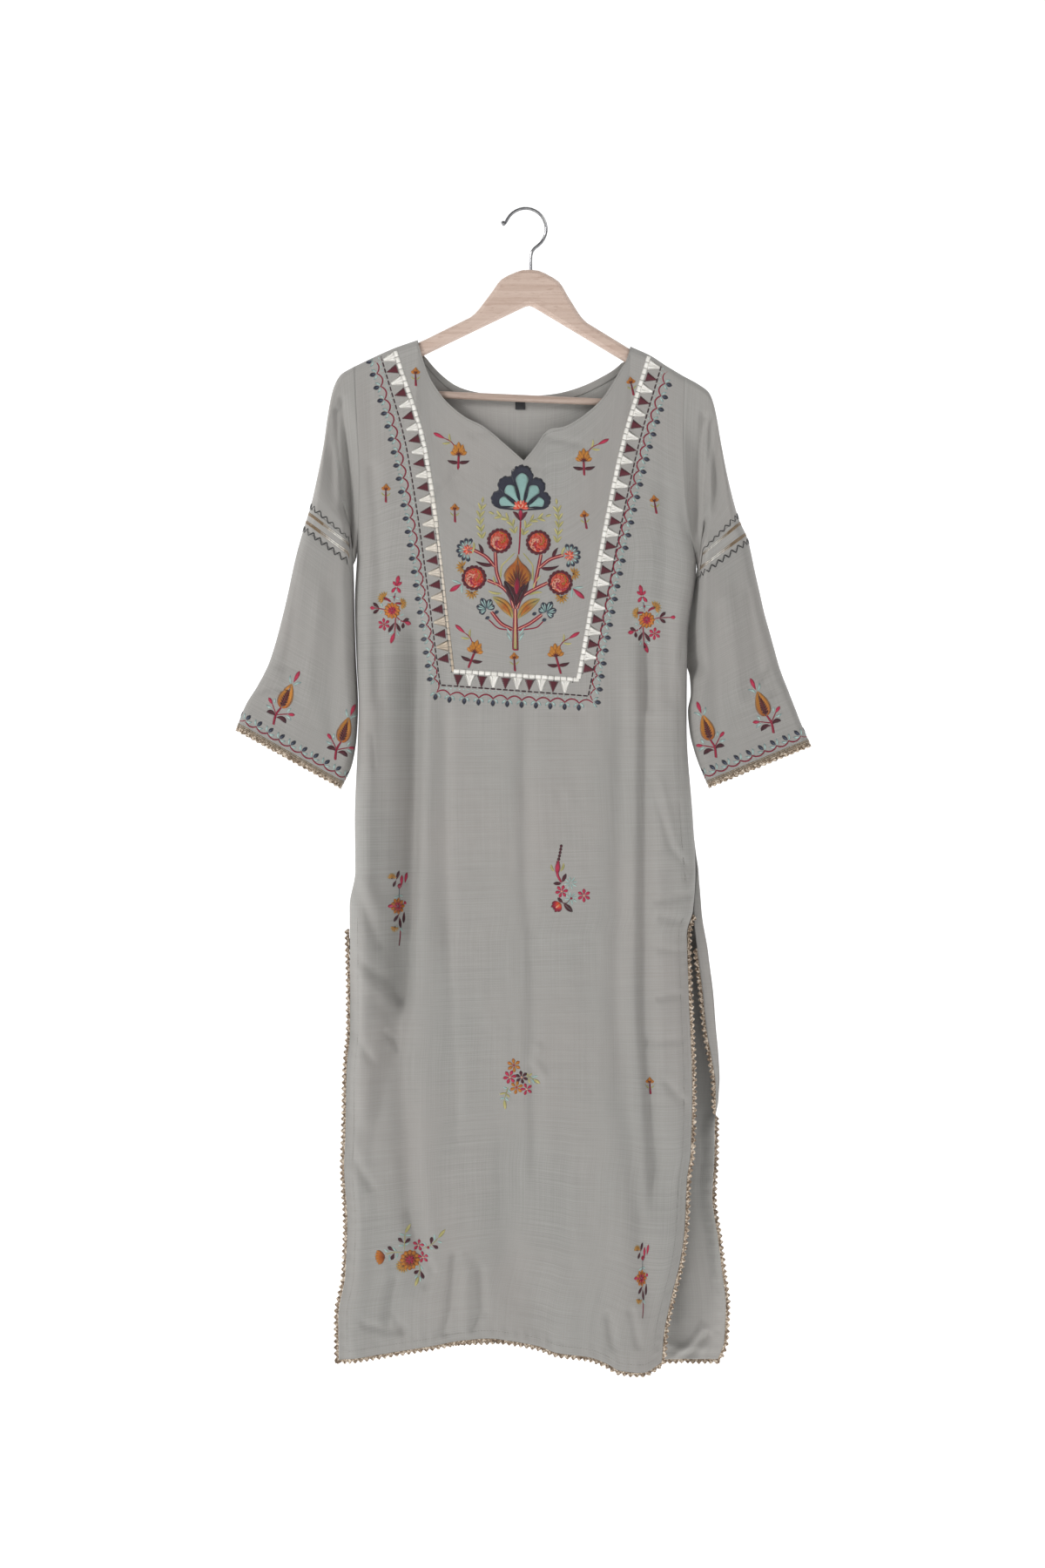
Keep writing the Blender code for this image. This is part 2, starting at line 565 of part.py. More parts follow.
# ---- making meshes -------------------------------------------------------------------
def grid_mesh(name, rows, closed=False):
    """Sheet through rows of points, made from a grid; closed joins each row's ends."""
    loops = [row + row[:1] for row in rows] if closed else rows
    down, across = len(loops) - 1, len(loops[0]) - 1
    bm = bmesh.new()
    bmesh.ops.create_grid(bm, x_segments=across, y_segments=down, size=0.5)
    for vertex in bm.verts:
        column = round((vertex.co.x + 0.5) * across)
        row = round((vertex.co.y + 0.5) * down)
        vertex.co = loops[row][column] * MM
    if closed:
        bmesh.ops.remove_doubles(bm, verts=bm.verts, dist=1e-7)
    mesh = bpy.data.meshes.new(name)
    bm.to_mesh(mesh)
    bm.free()
    return mesh


def wall_object(name, mesh, thickness, material, group):
    """Object with a cloth wall of even thickness about its mesh."""
    item = bpy.data.objects.new(name, mesh)
    group.objects.link(item)
    mesh.materials.append(material)
    wall = item.modifiers.new("wall", "SOLIDIFY")
    wall.thickness = thickness * MM
    wall.offset = 0.0
    wall.use_even_offset = True
    return item


def edge_run(points, inner):
    """Edge points with the direction out of the cloth at each, from the points inside it."""
    return [(point, (point - behind).normalized()) for point, behind in zip(points, inner)]


def lace_mesh(name, run, closed=False):
    """Zigzag lace along a run of edge points: a heading and a row of triangular teeth."""
    bm = bmesh.new()
    total = len(run)
    spans = total if closed else total - 1
    heads = [bm.verts.new((point + out * LAY_GAP) * MM) for point, out in run]
    valleys = [bm.verts.new((point + out * (LAY_GAP + LACE_HEAD)) * MM) for point, out in run]
    for i in range(spans):
        (start, start_out), (end, end_out) = run[i], run[(i + 1) % total]
        teeth = max(1, round((end - start).length / LACE_PITCH))
        outline = [heads[i], valleys[i]]
        for tooth in range(teeth):
            middle, after = (tooth + 0.5) / teeth, (tooth + 1.0) / teeth
            crest = start.lerp(end, middle) + start_out.lerp(end_out, middle) * LACE_DEPTH
            outline.append(bm.verts.new(crest * MM))
            if tooth < teeth - 1:
                dip = start.lerp(end, after) + start_out.lerp(end_out, after) * (LAY_GAP + LACE_HEAD)
                outline.append(bm.verts.new(dip * MM))
        outline += [valleys[(i + 1) % total], heads[(i + 1) % total]]
        bm.faces.new(outline)
    bmesh.ops.recalc_face_normals(bm, faces=bm.faces)
    mesh = bpy.data.meshes.new(name)
    bm.to_mesh(mesh)
    bm.free()
    return mesh


def slit_run(rows, panel, column, inner):
    """Edge points down one slit; near its top the lace lies flat across the seam."""
    slit_row = len(ROLL_ROWS + ARMHOLE_ROWS) + ROWS_TO_SLIT - 1
    turned_in = bool(column and panel.belly)
    first = slit_row + (LACE_START_BELLY if turned_in else LACE_START)
    across = Vector((1.0 if column and not turned_in else -1.0, 0.0, 0.0))
    steps = [first] + list(range(math.floor(first) + 1, panel.last_row))
    run = []
    for step in steps:
        row, share = int(step), step - int(step)
        point = rows[row][column].lerp(rows[row + 1][column], share)
        behind = rows[row][inner].lerp(rows[row + 1][inner], share)
        along = (point - behind).normalized()
        out = across.lerp(along, ease((step - slit_row) / LACE_TURN_ROWS))
        out.z = 0.0
        out.normalize()
        aside = math.sqrt(max(1.0 - along.dot(out) ** 2, 0.0))
        run.append((point + out * aside * (WALL + TRIM_WALL) / 2, out))
    return run


def slit_and_hem_run(rows, panel):
    """Run of edge points down one slit, along the hem and up the other slit."""
    last, right = panel.last_row, panel.last_column
    run = slit_run(rows, panel, 0, 1)
    columns = [0, 2] + list(range(panel.roll, right - panel.roll + 1)) + [right - 2, right]
    hem = edge_run([rows[last][c] for c in columns], [rows[last - 1][c] for c in columns])
    for end, inner in ((0, 1), (-1, right - 1)):
        point, down = hem[end]
        side = (point - rows[last][inner]).normalized()
        hem[end] = (point, down + side)
    run += hem
    return run + slit_run(rows, panel, right, right - 1)[::-1]


def drawn_back(row, inner):
    """Points of a row, half a seam's gap nearer to the row inside it."""
    return [a + (b - a).normalized() * SEAM_GAP / 2 for a, b in zip(row, inner)]


# ---- the pieces ----------------------------------------------------------------------
def make_panels(group, cloth):
    front = Panel(-1, FRONT_NECK, FRONT_HEM, FRONT_FOLDS, FRONT_DEPTH,
                  (FRONT_LEFT, FRONT_RIGHT), None)
    back = Panel(1, BACK_NECK, BACK_HEM, BACK_FOLDS, BACK_DEPTH,
                 (FRONT_LEFT[:BACK_LEFT_JOIN] + BACK_LEFT, FRONT_RIGHT[:BACK_RIGHT_JOIN] + BACK_RIGHT),
                 BACK_RIGHT_BELLY)
    front_rows, back_rows = front.grid(), back.grid()
    for side, rows in (("front", front_rows), ("back", back_rows)):
        for part, first, last in PANEL_PARTS:
            name = f"{side}_{part}"
            length = rows[first:last + 1]
            if first > 0:
                length[0] = drawn_back(length[0], length[1])
            if last < front.last_row:
                length[-1] = drawn_back(length[-1], length[-2])
            wall_object(name, grid_mesh(name, length), WALL, cloth, group)
    return front, back, front_rows, back_rows


def make_sleeve(side, table, band, armhole, outward, group, cloth, band_cloth, gold):
    """Upper sleeve, inset band, bell-shaped lower sleeve and the cuff's lace."""
    start, end = band
    half_gap = SEAM_GAP / 2
    downs = [row[0] for row in table]
    pieces = (
        ("upper", [down for down in downs if down <= start], ((-1, -half_gap),), cloth),
        ("band", [start, end], ((0, half_gap), (-1, -half_gap)), band_cloth),
        ("lower", [down for down in downs if down >= end], ((0, half_gap),), cloth),
    )
    for part, distances, seams, material in pieces:
        name = f"sleeve_{part}_{side}"
        rings = sleeve_rings(table, armhole, outward, distances, seams)
        wall_object(name, grid_mesh(name, rings, closed=True), WALL, material, group)
    run = thin_run(list(zip(*ring_ways(table, armhole, outward, downs[-1]))))
    name = f"cuff_lace_{side}"
    wall_object(name, lace_mesh(name, run, closed=True), TRIM_WALL, gold, group)


def thin_run(run):
    """A run without the points that stand closer than half a tooth to the last kept."""
    kept = [run[0]]
    for point, out in run[1:]:
        if (point - kept[-1][0]).length > LACE_PITCH / 2:
            kept.append((point, out))
    return kept


def make_facing(back_rows, group, cloth):
    """Strip turned inside along the back neckline, on the side that shows."""
    first, last = FACING_COLUMNS
    move = WALL / 2 + LAY_GAP + TRIM_WALL / 2
    rows = []
    for step in range(FACING_ROWS):
        fall = FACING_WIDTH * step / (FACING_ROWS - 1)
        rows.append([point + Vector((0.0, -move, -fall)) for point in back_rows[0][first:last + 1]])
    wall_object("neck_facing", grid_mesh("neck_facing", rows), TRIM_WALL, cloth, group)


def make_label(back_rows, group, label_cloth):
    """Small blank tab sewn under the back neck's facing."""
    nearest = min(back_rows[0], key=lambda point: abs(point.x - LABEL_X))
    y = nearest.y - WALL / 2 - LAY_GAP - TRIM_WALL - 2 * LAY_GAP - TRIM_WALL / 2
    shares = [i / (LABEL_POINTS - 1) for i in range(LABEL_POINTS)]
    rows = [[Vector((LABEL_X + LABEL_SIZE[0] * (across - 0.5), y, LABEL_TOP - LABEL_SIZE[1] * down))
             for across in shares] for down in shares]
    wall_object("neck_label", grid_mesh("neck_label", rows), TRIM_WALL, label_cloth, group)


def tilted(x, z):
    """Place of a point of the wood, given from its top, as it hangs."""
    return (APEX[0] + x * math.cos(TILT) + z * math.sin(TILT),
            APEX[1] - x * math.sin(TILT) + z * math.cos(TILT))


def cylinder(name, radius, start, end, group):
    """Round bar between two points."""
    a, b = Vector(start) * MM, Vector(end) * MM
    bm = bmesh.new()
    bmesh.ops.create_cone(bm, cap_ends=True, segments=SIDES, radius1=radius * MM,
                          radius2=radius * MM, depth=(b - a).length)
    mesh = bpy.data.meshes.new(name)
    bm.to_mesh(mesh)
    bm.free()
    item = bpy.data.objects.new(name, mesh)
    item.matrix_world = Matrix.Translation((a + b) / 2) @ (b - a).to_track_quat("Z", "Y").to_matrix().to_4x4()
    group.objects.link(item)
    return item


def make_wood(group, cutters, wood):
    """Flat wooden hanger with rounded edges, drilled for its bar and its hook."""
    outline = [tilted(x, z) for x, z in WOOD_OUTLINE]
    outline += [tilted(-x, z) for x, z in WOOD_OUTLINE[WOOD_MIRRORED]]
    curve = bpy.data.curves.new("hanger_wood", "CURVE")
    curve.dimensions = "2D"
    curve.fill_mode = "BOTH"
    curve.extrude = (WOOD_THICKNESS / 2 - WOOD_EDGE) * MM
    curve.bevel_depth = WOOD_EDGE * MM
    curve.bevel_resolution = 1
    curve.offset = -WOOD_EDGE * MM
    spline = curve.splines.new("POLY")
    spline.points.add(len(outline) - 1)
    for point, (x, z) in zip(spline.points, outline):
        point.co = (x * MM, z * MM, 0.0, 1.0)
    spline.use_cyclic_u = True
    flat = bpy.data.objects.new("hanger_outline", curve)
    flat.rotation_euler = (math.pi / 2, 0.0, 0.0)
    group.objects.link(flat)
    bpy.context.view_layer.update()
    mesh = bpy.data.meshes.new_from_object(flat.evaluated_get(bpy.context.evaluated_depsgraph_get()))
    bm = bmesh.new()
    bm.from_mesh(mesh)
    bmesh.ops.remove_doubles(bm, verts=bm.verts, dist=1e-6)
    bmesh.ops.recalc_face_normals(bm, faces=bm.faces)
    bm.to_mesh(mesh)
    bm.free()
    item = bpy.data.objects.new("hanger_wood", mesh)
    item.matrix_world = flat.matrix_world.copy()
    group.objects.link(item)
    bpy.data.objects.remove(flat, do_unlink=True)
    mesh.materials.clear()
    mesh.materials.append(wood)
    bore = BAR_HALF + STEM_CLEARANCE
    low, high = tilted(-bore, -BAR_DROP), tilted(bore, -BAR_DROP)
    drills = (
        cylinder("bar_drill", BAR_RADIUS + STEM_CLEARANCE, (low[0], 0.0, low[1]),
                 (high[0], 0.0, high[1]), cutters),
        cylinder("stem_drill", WIRE_RADIUS + STEM_CLEARANCE,
                 (STEM_X, 0.0, APEX[1] - STEM_IN_WOOD - STEM_CLEARANCE),
                 (STEM_X, 0.0, APEX[1] + STEM_IN_WOOD), cutters),
    )
    for drill in drills:
        drill.hide_render = True
        drill.display_type = "WIRE"
        cut = item.modifiers.new(drill.name, "BOOLEAN")
        cut.operation = "DIFFERENCE"
        cut.solver = "EXACT"
        cut.object = drill
    return item


def make_bar(group, wood):
    low, high = tilted(-BAR_HALF, -BAR_DROP), tilted(BAR_HALF, -BAR_DROP)
    bar = cylinder("hanger_bar", BAR_RADIUS, (low[0], 0.0, low[1]), (high[0], 0.0, high[1]), group)
    bar.data.materials.append(wood)


def hook_route():
    """Centre line of the wire: from the bead over the top and down to the stem's end."""
    arc = []
    for i in range(HOOK_STEPS + 1):
        angle = mix(*HOOK_SWEEP, i / HOOK_STEPS)
        arc.append((HOOK_CENTRE[0] + HOOK_RADIUS * math.cos(angle),
                    HOOK_CENTRE[1] + HOOK_RADIUS * math.sin(angle), 1.0))
    stem = (STEM_X, APEX[1] - STEM_IN_WOOD, 1.0)
    return [*HOOK_BEAD, *arc, *HOOK_NECK, stem]


def make_hook(group, steel):
    """Wire hook with a bead on its end."""
    curve = bpy.data.curves.new("hanger_hook", "CURVE")
    curve.dimensions = "3D"
    curve.bevel_depth = WIRE_RADIUS * MM
    curve.bevel_resolution = 2
    curve.use_fill_caps = True
    route = hook_route()
    spline = curve.splines.new("POLY")
    spline.points.add(len(route) - 1)
    for point, (x, z, thickness) in zip(spline.points, route):
        point.co = (x * MM, 0.0, z * MM, 1.0)
        point.radius = thickness
    item = bpy.data.objects.new("hanger_hook", curve)
    curve.materials.append(steel)
    group.objects.link(item)
    return item


def main():
    clear_scene()
    group = new_collection("kurta_on_hanger")
    cutters = new_collection("cutters")
    cloth = new_material("cloth", CLOTH_COLOUR, 0.85)
    band_cloth = new_material("band", BAND_COLOUR, 0.7)
    gold = new_material("lace", GOLD_COLOUR, 0.5, 0.3)
    wood = new_material("wood", WOOD_COLOUR, 0.45)
    steel = new_material("steel", STEEL_COLOUR, 0.25, 1.0)
    label_cloth = new_material("label", LABEL_COLOUR, 0.8)

    front, back, front_rows, back_rows = make_panels(group, cloth)
    left = armhole_loop(front_rows, back_rows, 0)
    right = armhole_loop([row[::-1] for row in front_rows], [row[::-1] for row in back_rows], 0)
    make_sleeve("left", SLEEVE_LEFT, BAND_LEFT, left, -1.0, group, cloth, band_cloth, gold)
    make_sleeve("right", SLEEVE_RIGHT, BAND_RIGHT, right, 1.0, group, cloth, band_cloth, gold)
    for name, rows, panel in (("front_lace", front_rows, front), ("back_lace", back_rows, back)):
        run = slit_and_hem_run(rows, panel)
        wall_object(name, lace_mesh(name, run), TRIM_WALL, gold, group)
    make_facing(back_rows, group, cloth)
    make_label(back_rows, group, label_cloth)
    make_wood(group, cutters, wood)
    make_bar(group, wood)
    make_hook(group, steel)


main()
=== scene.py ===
"""Kurta tunic on a wooden hanger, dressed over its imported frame.

Metres, +Z up, the front faces -Y and the wearer's right is at -X. Tables are in millimetres
from the hook's inner top, as in the part's own source.
"""

import math

import bmesh
import bpy
import numpy as np
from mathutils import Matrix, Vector
from mathutils.bvhtree import BVHTree


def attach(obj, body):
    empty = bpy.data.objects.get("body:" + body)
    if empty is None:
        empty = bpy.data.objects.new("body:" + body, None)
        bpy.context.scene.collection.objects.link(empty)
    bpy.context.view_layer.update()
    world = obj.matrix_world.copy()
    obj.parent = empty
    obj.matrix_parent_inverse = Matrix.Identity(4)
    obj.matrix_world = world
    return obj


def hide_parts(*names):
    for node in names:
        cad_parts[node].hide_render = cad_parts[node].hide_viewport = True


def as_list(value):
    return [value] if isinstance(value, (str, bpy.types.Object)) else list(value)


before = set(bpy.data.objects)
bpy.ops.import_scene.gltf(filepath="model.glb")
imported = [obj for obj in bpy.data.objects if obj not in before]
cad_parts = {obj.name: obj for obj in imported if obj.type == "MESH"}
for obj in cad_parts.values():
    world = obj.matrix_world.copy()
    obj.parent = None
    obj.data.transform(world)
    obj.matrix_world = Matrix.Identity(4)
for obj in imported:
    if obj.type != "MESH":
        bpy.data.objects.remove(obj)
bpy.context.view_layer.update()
MM = 0.001

# ---- cloth: the cut, as in the part's source -----------------------------------------
WALL = 1.0                 # thickness of the cloth wall
SEAM_GAP = 0.2
ROLL_WIDTH = 16.0
SHOULDER_RADIUS = 8.0
BELLY_FULL = 4.0
BELLY_SOFT = 2.5           # over which the belly grows out of the plain edge
BELLY_CLEAR = 1.3
BELLY_FORWARD = 5.0
SLIT_FADE = 90.0
SHOULDER_LEFT = ((-196, -179.8), (-174, -169.3), (-152, -159.5), (-124.3, -149.8))
SHOULDER_RIGHT = ((119.8, -157.2), (146, -169.5), (160, -179), (182, -192))
UNDERARM_DROP = 219
SLIT_DROPS = (641, 612)
TURN_START = 150
EVEN_DROP = 260
NECK_FADE = 420
HEM_RISE_START = 700
FRONT_LEFT = (
    (-179.8, -196), (-231, -194), (-311, -190.5), (-359, -191.5), (-398.8, -193.5), (-450, -196),
    (-519, -194), (-570, -191.5), (-620, -193), (-700, -196), (-759, -195.5), (-799, -202),
    (-859, -201.5), (-939, -201.5), (-989, -205.5), (-1059, -206.5), (-1099, -208),
    (-1159, -204.5), (-1219, -206.5), (-1269, -214.5), (-1318, -214),
)
FRONT_RIGHT = (
    (-192, 182), (-259, 180), (-315, 181.6), (-364, 186), (-411, 195), (-489, 185), (-593, 184),
    (-699, 191), (-759, 194), (-804, 191), (-830, 184), (-894, 186), (-1009, 190), (-1079, 188.5),
    (-1113, 184), (-1166, 181.5), (-1204, 176.5), (-1243, 167), (-1289, 157.5), (-1321, 155),
)
BACK_LEFT = ((-821, -202), (-859, -197), (-1059, -201), (-1219, -201), (-1318, -206))
BACK_RIGHT = (
    (-804, 191), (-855, 196), (-894, 201), (-942, 206), (-980, 213), (-1005, 216.5), (-1079, 217),
    (-1135, 214.5), (-1179, 220.5), (-1219, 225.5), (-1259, 230), (-1299, 228.5), (-1321, 221),
)
BACK_LEFT_JOIN = 12
BACK_RIGHT_JOIN = 9
BACK_RIGHT_BELLY = (
    (-700, 0), (-759, 2.5), (-804, 9), (-855, 12), (-894, 12), (-942, 11), (-980, 7), (-1005, 4),
    (-1060, 0),
)
FRONT_NECK = (
    (-124.3, -149.8), (-123.6, -152.9), (-122, -159), (-113.5, -185.5), (-99, -211), (-75, -235),
    (-44, -252.5), (-25, -269), (-2.5, -289), (10.5, -273), (21, -257.5), (46, -249), (71, -233),
    (90, -214), (107.5, -185.5), (117.6, -166), (119.2, -160), (119.8, -157.2),
)
BACK_NECK = (
    (-124.3, -149.8), (-123.6, -152.9), (-121.6, -159), (-113.5, -170.5), (-88, -196), (-48, -210),
    (4, -212.5), (46, -207.5), (82, -193.5), (109, -175.6), (117.6, -166), (119.2, -160),
    (119.8, -157.2),
)
NECK_CORNERS = (-124.3, -2.5, 119.8)   # x where the neckline turns sharply
FRONT_HEM = (
    (-214, -1318), (-163, -1310.5), (-112, -1302), (-71, -1295), (-43, -1293), (-18, -1296),
    (16, -1303), (34, -1309.5), (72, -1314), (92, -1321), (107, -1329), (134, -1331.5),
    (155, -1321),
)
BACK_HEM = (
    (-206, -1318), (-150, -1311), (-112, -1305.5), (-71, -1300.5), (-43, -1298.5), (-18, -1298),
    (16, -1301), (34, -1306), (72, -1312), (107, -1320), (140, -1323), (221, -1321),
)
FRONT_DEPTH = ((0, 8.5), (60, 11), (150, 17), (300, 21), (520, 22), (820, 20), (1140, 16))
BACK_DEPTH = ((0, 8.5), (60, 10.5), (150, 15), (300, 18), (600, 19), (1140, 15))
ARMHOLE_DEPTH = (
    (0, 8.5), (45, 11.5), (115, 15), (150, 15.5), (178, 14), (198, 10.5), (211, 5.5), (219, 0),
)
FLAP_DEPTH = ((0, 0), (35, 3.5), (100, 8), (250, 11), (520, 12))
SLIT_STITCHING = (7, 5, 2.6, 23)      # place from the edge, width, ripple and its drift
HEM_STITCHING = (9, 7, 2.3, 19)
HEM_STITCH_FALL = 600                 # only cloth that hangs lower is near the hem
PUCKER_FADE = 20                      # below the slit's top
CRUMPLE_START = 120
FLUTTER, FLUTTER_FADE = 1.3, 120      # of the loose edges beside the slits
SIDE_SET = ((-640, 0), (-804, -5), (-1005, -4), (-1100, 0))
ROLL_ROWS = (0, 0.6, 2.3, 4.9, 8)
ARMHOLE_ROWS = (20, 45, 80, 115, 150, 178, 198, 211, 219)
UNDERARM_ROW = len(ROLL_ROWS + ARMHOLE_ROWS) - 1
ROWS_TO_SLIT = 11
ROWS_BELOW_SLIT = 13
SLIT_ROW = UNDERARM_ROW + ROWS_TO_SLIT
ROLL_COLUMNS = (0, 0.12, 0.5, 1)
FOLD_FADE = 60
FOLD_GAIN = 1.25
CREASE_GAIN = 1.3

# Long folds: depth is towards the front where positive, and the widths are to the left and
# to the right of the crest, whose line is its (z, x).
FRONT_FOLDS = (
    # depth, left width, right width, line
    (-18, 19, 9, ((-480, -125), (-560, -127), (-700, -130), (-780, -134), (-830, -138),
                  (-880, -141))),
    (-7.5, 16, 10, ((-820, -140), (-920, -145), (-1000, -140), (-1080, -134), (-1160, -127),
                    (-1200, -122))),
    (8, 12, 15, ((-520, -184), (-940, -184), (-1000, -187))),
    (4, 13, 13, ((-1060, -184), (-1300, -192))),
    (-4, 16, 7, ((-539, -93), (-754, -91), (-819, -88))),
    (-1.6, 9, 6, ((-800, -90), (-920, -84), (-1039, -79))),
    (2, 18, 18, ((-539, -118), (-1039, -114), (-1300, -116))),
    (-2.5, 7, 11, ((-560, -2), (-760, -1), (-840, 6), (-1080, 10))),
    (-4, 24, 26, ((-1080, -14), (-1160, -20), (-1270, 8), (-1330, 14))),
    (-4.2, 13, 12, ((-560, 108), (-760, 108), (-880, 104), (-1000, 111), (-1080, 121),
                    (-1160, 130), (-1230, 136))),
    (-7.5, 6, 18, ((-495, 136), (-889, 133), (-1039, 142), (-1100, 145))),
    (4, 10, 16, ((-520, 148), (-940, 149), (-1040, 153))),
    (4.5, 45, 20, ((-1000, 114), (-1335, 122))),
)
BACK_FOLDS = (
    (7, 15, 15, ((-560, -128), (-1000, -140), (-1330, -150))),
    (-6, 18, 18, ((-620, -90), (-1330, -98))),
    (6, 18, 18, ((-480, -28), (-900, -36), (-1330, -44))),
    (-6, 18, 18, ((-640, 30), (-1330, 26))),
    (7, 15, 15, ((-560, 92), (-1000, 104), (-1330, 112))),
    (-6, 15, 15, ((-820, 150), (-1330, 168))),
)

# Creases: depth towards the front, width, and the points (x, z) that one follows.
FRONT_CREASES = (
    (-1.6, 4, ((143, -653), (164, -729), (188, -758))),
    (1.2, 5, ((152, -653), (174, -735))),
    (-2.4, 4, ((150, -793), (188, -786))),
    (-2, 4, ((155, -812), (184, -816))),
    (-2.6, 4, ((152, -903), (182, -899))),
    (-2.2, 4, ((140, -955), (180, -951))),
    (-1.2, 7, ((-152, -939), (-168, -1030), (-188, -1148))),
    (-2.4, 7, ((-134, -1150), (-122, -1196))),
    (-1.8, 4, ((148, -846), (184, -852))),
    (-2, 5, ((160, -1000), (186, -1030))),
    (2, 9, ((-166, -930), (-186, -1040))),
    (-3, 6, ((-198, -1086), (-178, -1118))),
    (-2.6, 6, ((-194, -778), (-180, -812), (-168, -842))),
    (2.2, 8, ((-182, -772), (-166, -806))),
    (-2.6, 6, ((-196, -856), (-160, -884))),
    (2.4, 9, ((-184, -880), (-152, -912))),
    (-2.4, 3, ((-161, -944), (-152, -952), (-148, -962))),
    (-2.4, 5, ((-196, -946), (-176, -974))),
    (-1.8, 1.6, ((179, -495), (173, -545), (175, -680), (182, -770))),
    (-3, 5, ((-82, -1200), (-86, -1256), (-94, -1286))),
    (-2.8, 5, ((-52, -1216), (-50, -1262), (-62, -1282))),
    (2.6, 8, ((-68, -1210), (-68, -1280))),
    (-2.6, 4.5, ((-112, -1206), (-106, -1218), (-114, -1232))),
    (2.2, 9, ((-160, -1216), (-172, -1268))),
    (-2.4, 6, ((-150, -1226), (-158, -1276))),
    (-2, 7, ((-134, -490), (-138, -560))),
    (-2, 7, ((136, -500), (140, -570))),
    (-1.5, 4, ((-27, -250), (-60, -259))),
    (-1.5, 4, ((24, -262), (62, -270))),
    (-0.8, 3.5, ((6, -296), (24, -299))),
    (-0.9, 2.5, ((-30, -299), (-14, -296))),
    (-1.4, 5, ((-76, -300), (-104, -330))),
    (-2.4, 8, ((-176, -300), (-166, -420), (-172, -560))),
    (-2, 9, ((160, -320), (158, -440), (164, -560))),
    (-2.4, 5, ((-185, -1276), (-160, -1284), (-140, -1284))),
    (-2, 4.5, ((-150, -1268), (-142, -1284))),
    (2.6, 6, ((14, -960), (10, -976), (18, -990))),
    (-2.4, 5, ((120, -1262), (128, -1300))),
    (-2.2, 2.6, ((-188, -492), (-185, -540), (-181, -600))),
    (1.6, 2.4, ((-190, -515), (-188.5, -560), (-186, -588))),
    (-1.6, 2.2, ((-178, -560), (-174, -640))),
    (-2.4, 5, ((94, -1268), (100, -1302))),
)
BACK_CREASES = (
    (3, 4.6, ((172, -1318), (192, -1303), (206, -1286))),
    (-3, 5, ((184, -1320), (208, -1296))),
    (2.4, 5, ((150, -1300), (176, -1310), (206, -1308))),
    (-1.6, 8, ((-120, -250), (-100, -330), (-104, -430))),
    (-1.6, 8, ((118, -260), (98, -340), (100, -430))),
    (-1.5, 5, ((20, -520), (70, -540))),
    (1.5, 7, ((-60, -560), (-10, -590))),
)

# Sleeves: down the outer edge, outer x and z, inner x and z, half depth, bend.
SLEEVE_LEFT = (
    (0, -196, -180, -193.5, -399, 13, 0),
    (20, -213, -190.5, -195.5, -401, 6.5, 0),
    (39.5, -221.5, -208, -196.5, -403, 15, 0.05),
    (68, -227, -236, -197.5, -405, 20, 0.15),
    (103, -232, -271, -198.5, -407, 23, 0.3),
    (140, -239, -307, -199, -409, 25, 0.42),
    (176, -247, -342, -198.5, -412, 26, 0.48),
    (201, -254.5, -366, -197.8, -432, 26, 0.42),
    (232, -263, -396, -197.4, -459, 25, 0.3),
    (296, -277, -459, -195.7, -514, 22, 0.12),
    (358, -294, -519, -193.2, -570, 18, 0),
    (389, -308, -547, -194.6, -602, 15, 0),
    (414, -321, -568, -200, -636, 13, 0),
    (441, -331, -592.5, -210.5, -659.5, 12, 0),
)
SLEEVE_RIGHT = (
    (0, 182, -192, 195, -411, 13, 0),
    (19.5, 199, -201.5, 197, -412.5, 6.5, 0),
    (33.5, 210, -210.5, 197.5, -414, 14, 0.05),
    (51, 216, -227, 198, -415, 18, 0.12),
    (96, 224, -271, 199, -417, 22, 0.25),
    (133, 231, -307, 199.5, -419, 24, 0.35),
    (180, 243, -353, 196, -422, 26, 0.42),
    (209.5, 254.5, -380, 190.6, -447, 26, 0.38),
    (244, 262, -414, 185.6, -474, 25, 0.28),
    (271, 268, -440.5, 183.2, -494.5, 24, 0.2),
    (296, 273.6, -465, 183.4, -515, 22.7, 0.13),
    (318, 279.5, -486, 188.6, -535, 21.2, 0.09),
    (339, 285, -506, 189.6, -555, 19.8, 0.05),
    (361, 291, -527, 186.4, -575, 18.3, 0),
    (389, 301, -553, 188.6, -600, 16.1, 0),
    (411, 309, -573.5, 193.4, -620, 14.3, 0),
    (427, 315, -589, 198.8, -636, 13, 0),
    (451, 325, -611, 208.5, -658.5, 12, 0),
)
SLEEVE_TUCK = {             # how far the inner edge is tucked behind the side seam
    "left": ((0, 0), (441, 0)),
    "right": ((0, 0), (165, 0), (206, 0.8), (236, 1), (302, 1), (326, 0.2), (345, 0),
              (451, 0)),
}
TUCK_DEPTH = 14
BAND_LEFT = (176, 201)
BAND_RIGHT = (180, 209.5)
CAP_BLEND = 32
UNDERARM_CLEAR = 1.3
CAP_END = 80
CAP_HALF = 10.5
BEND_START = 0.9
HALF_RING = 66             # points down the front of a ring, from its outer to its inner edge
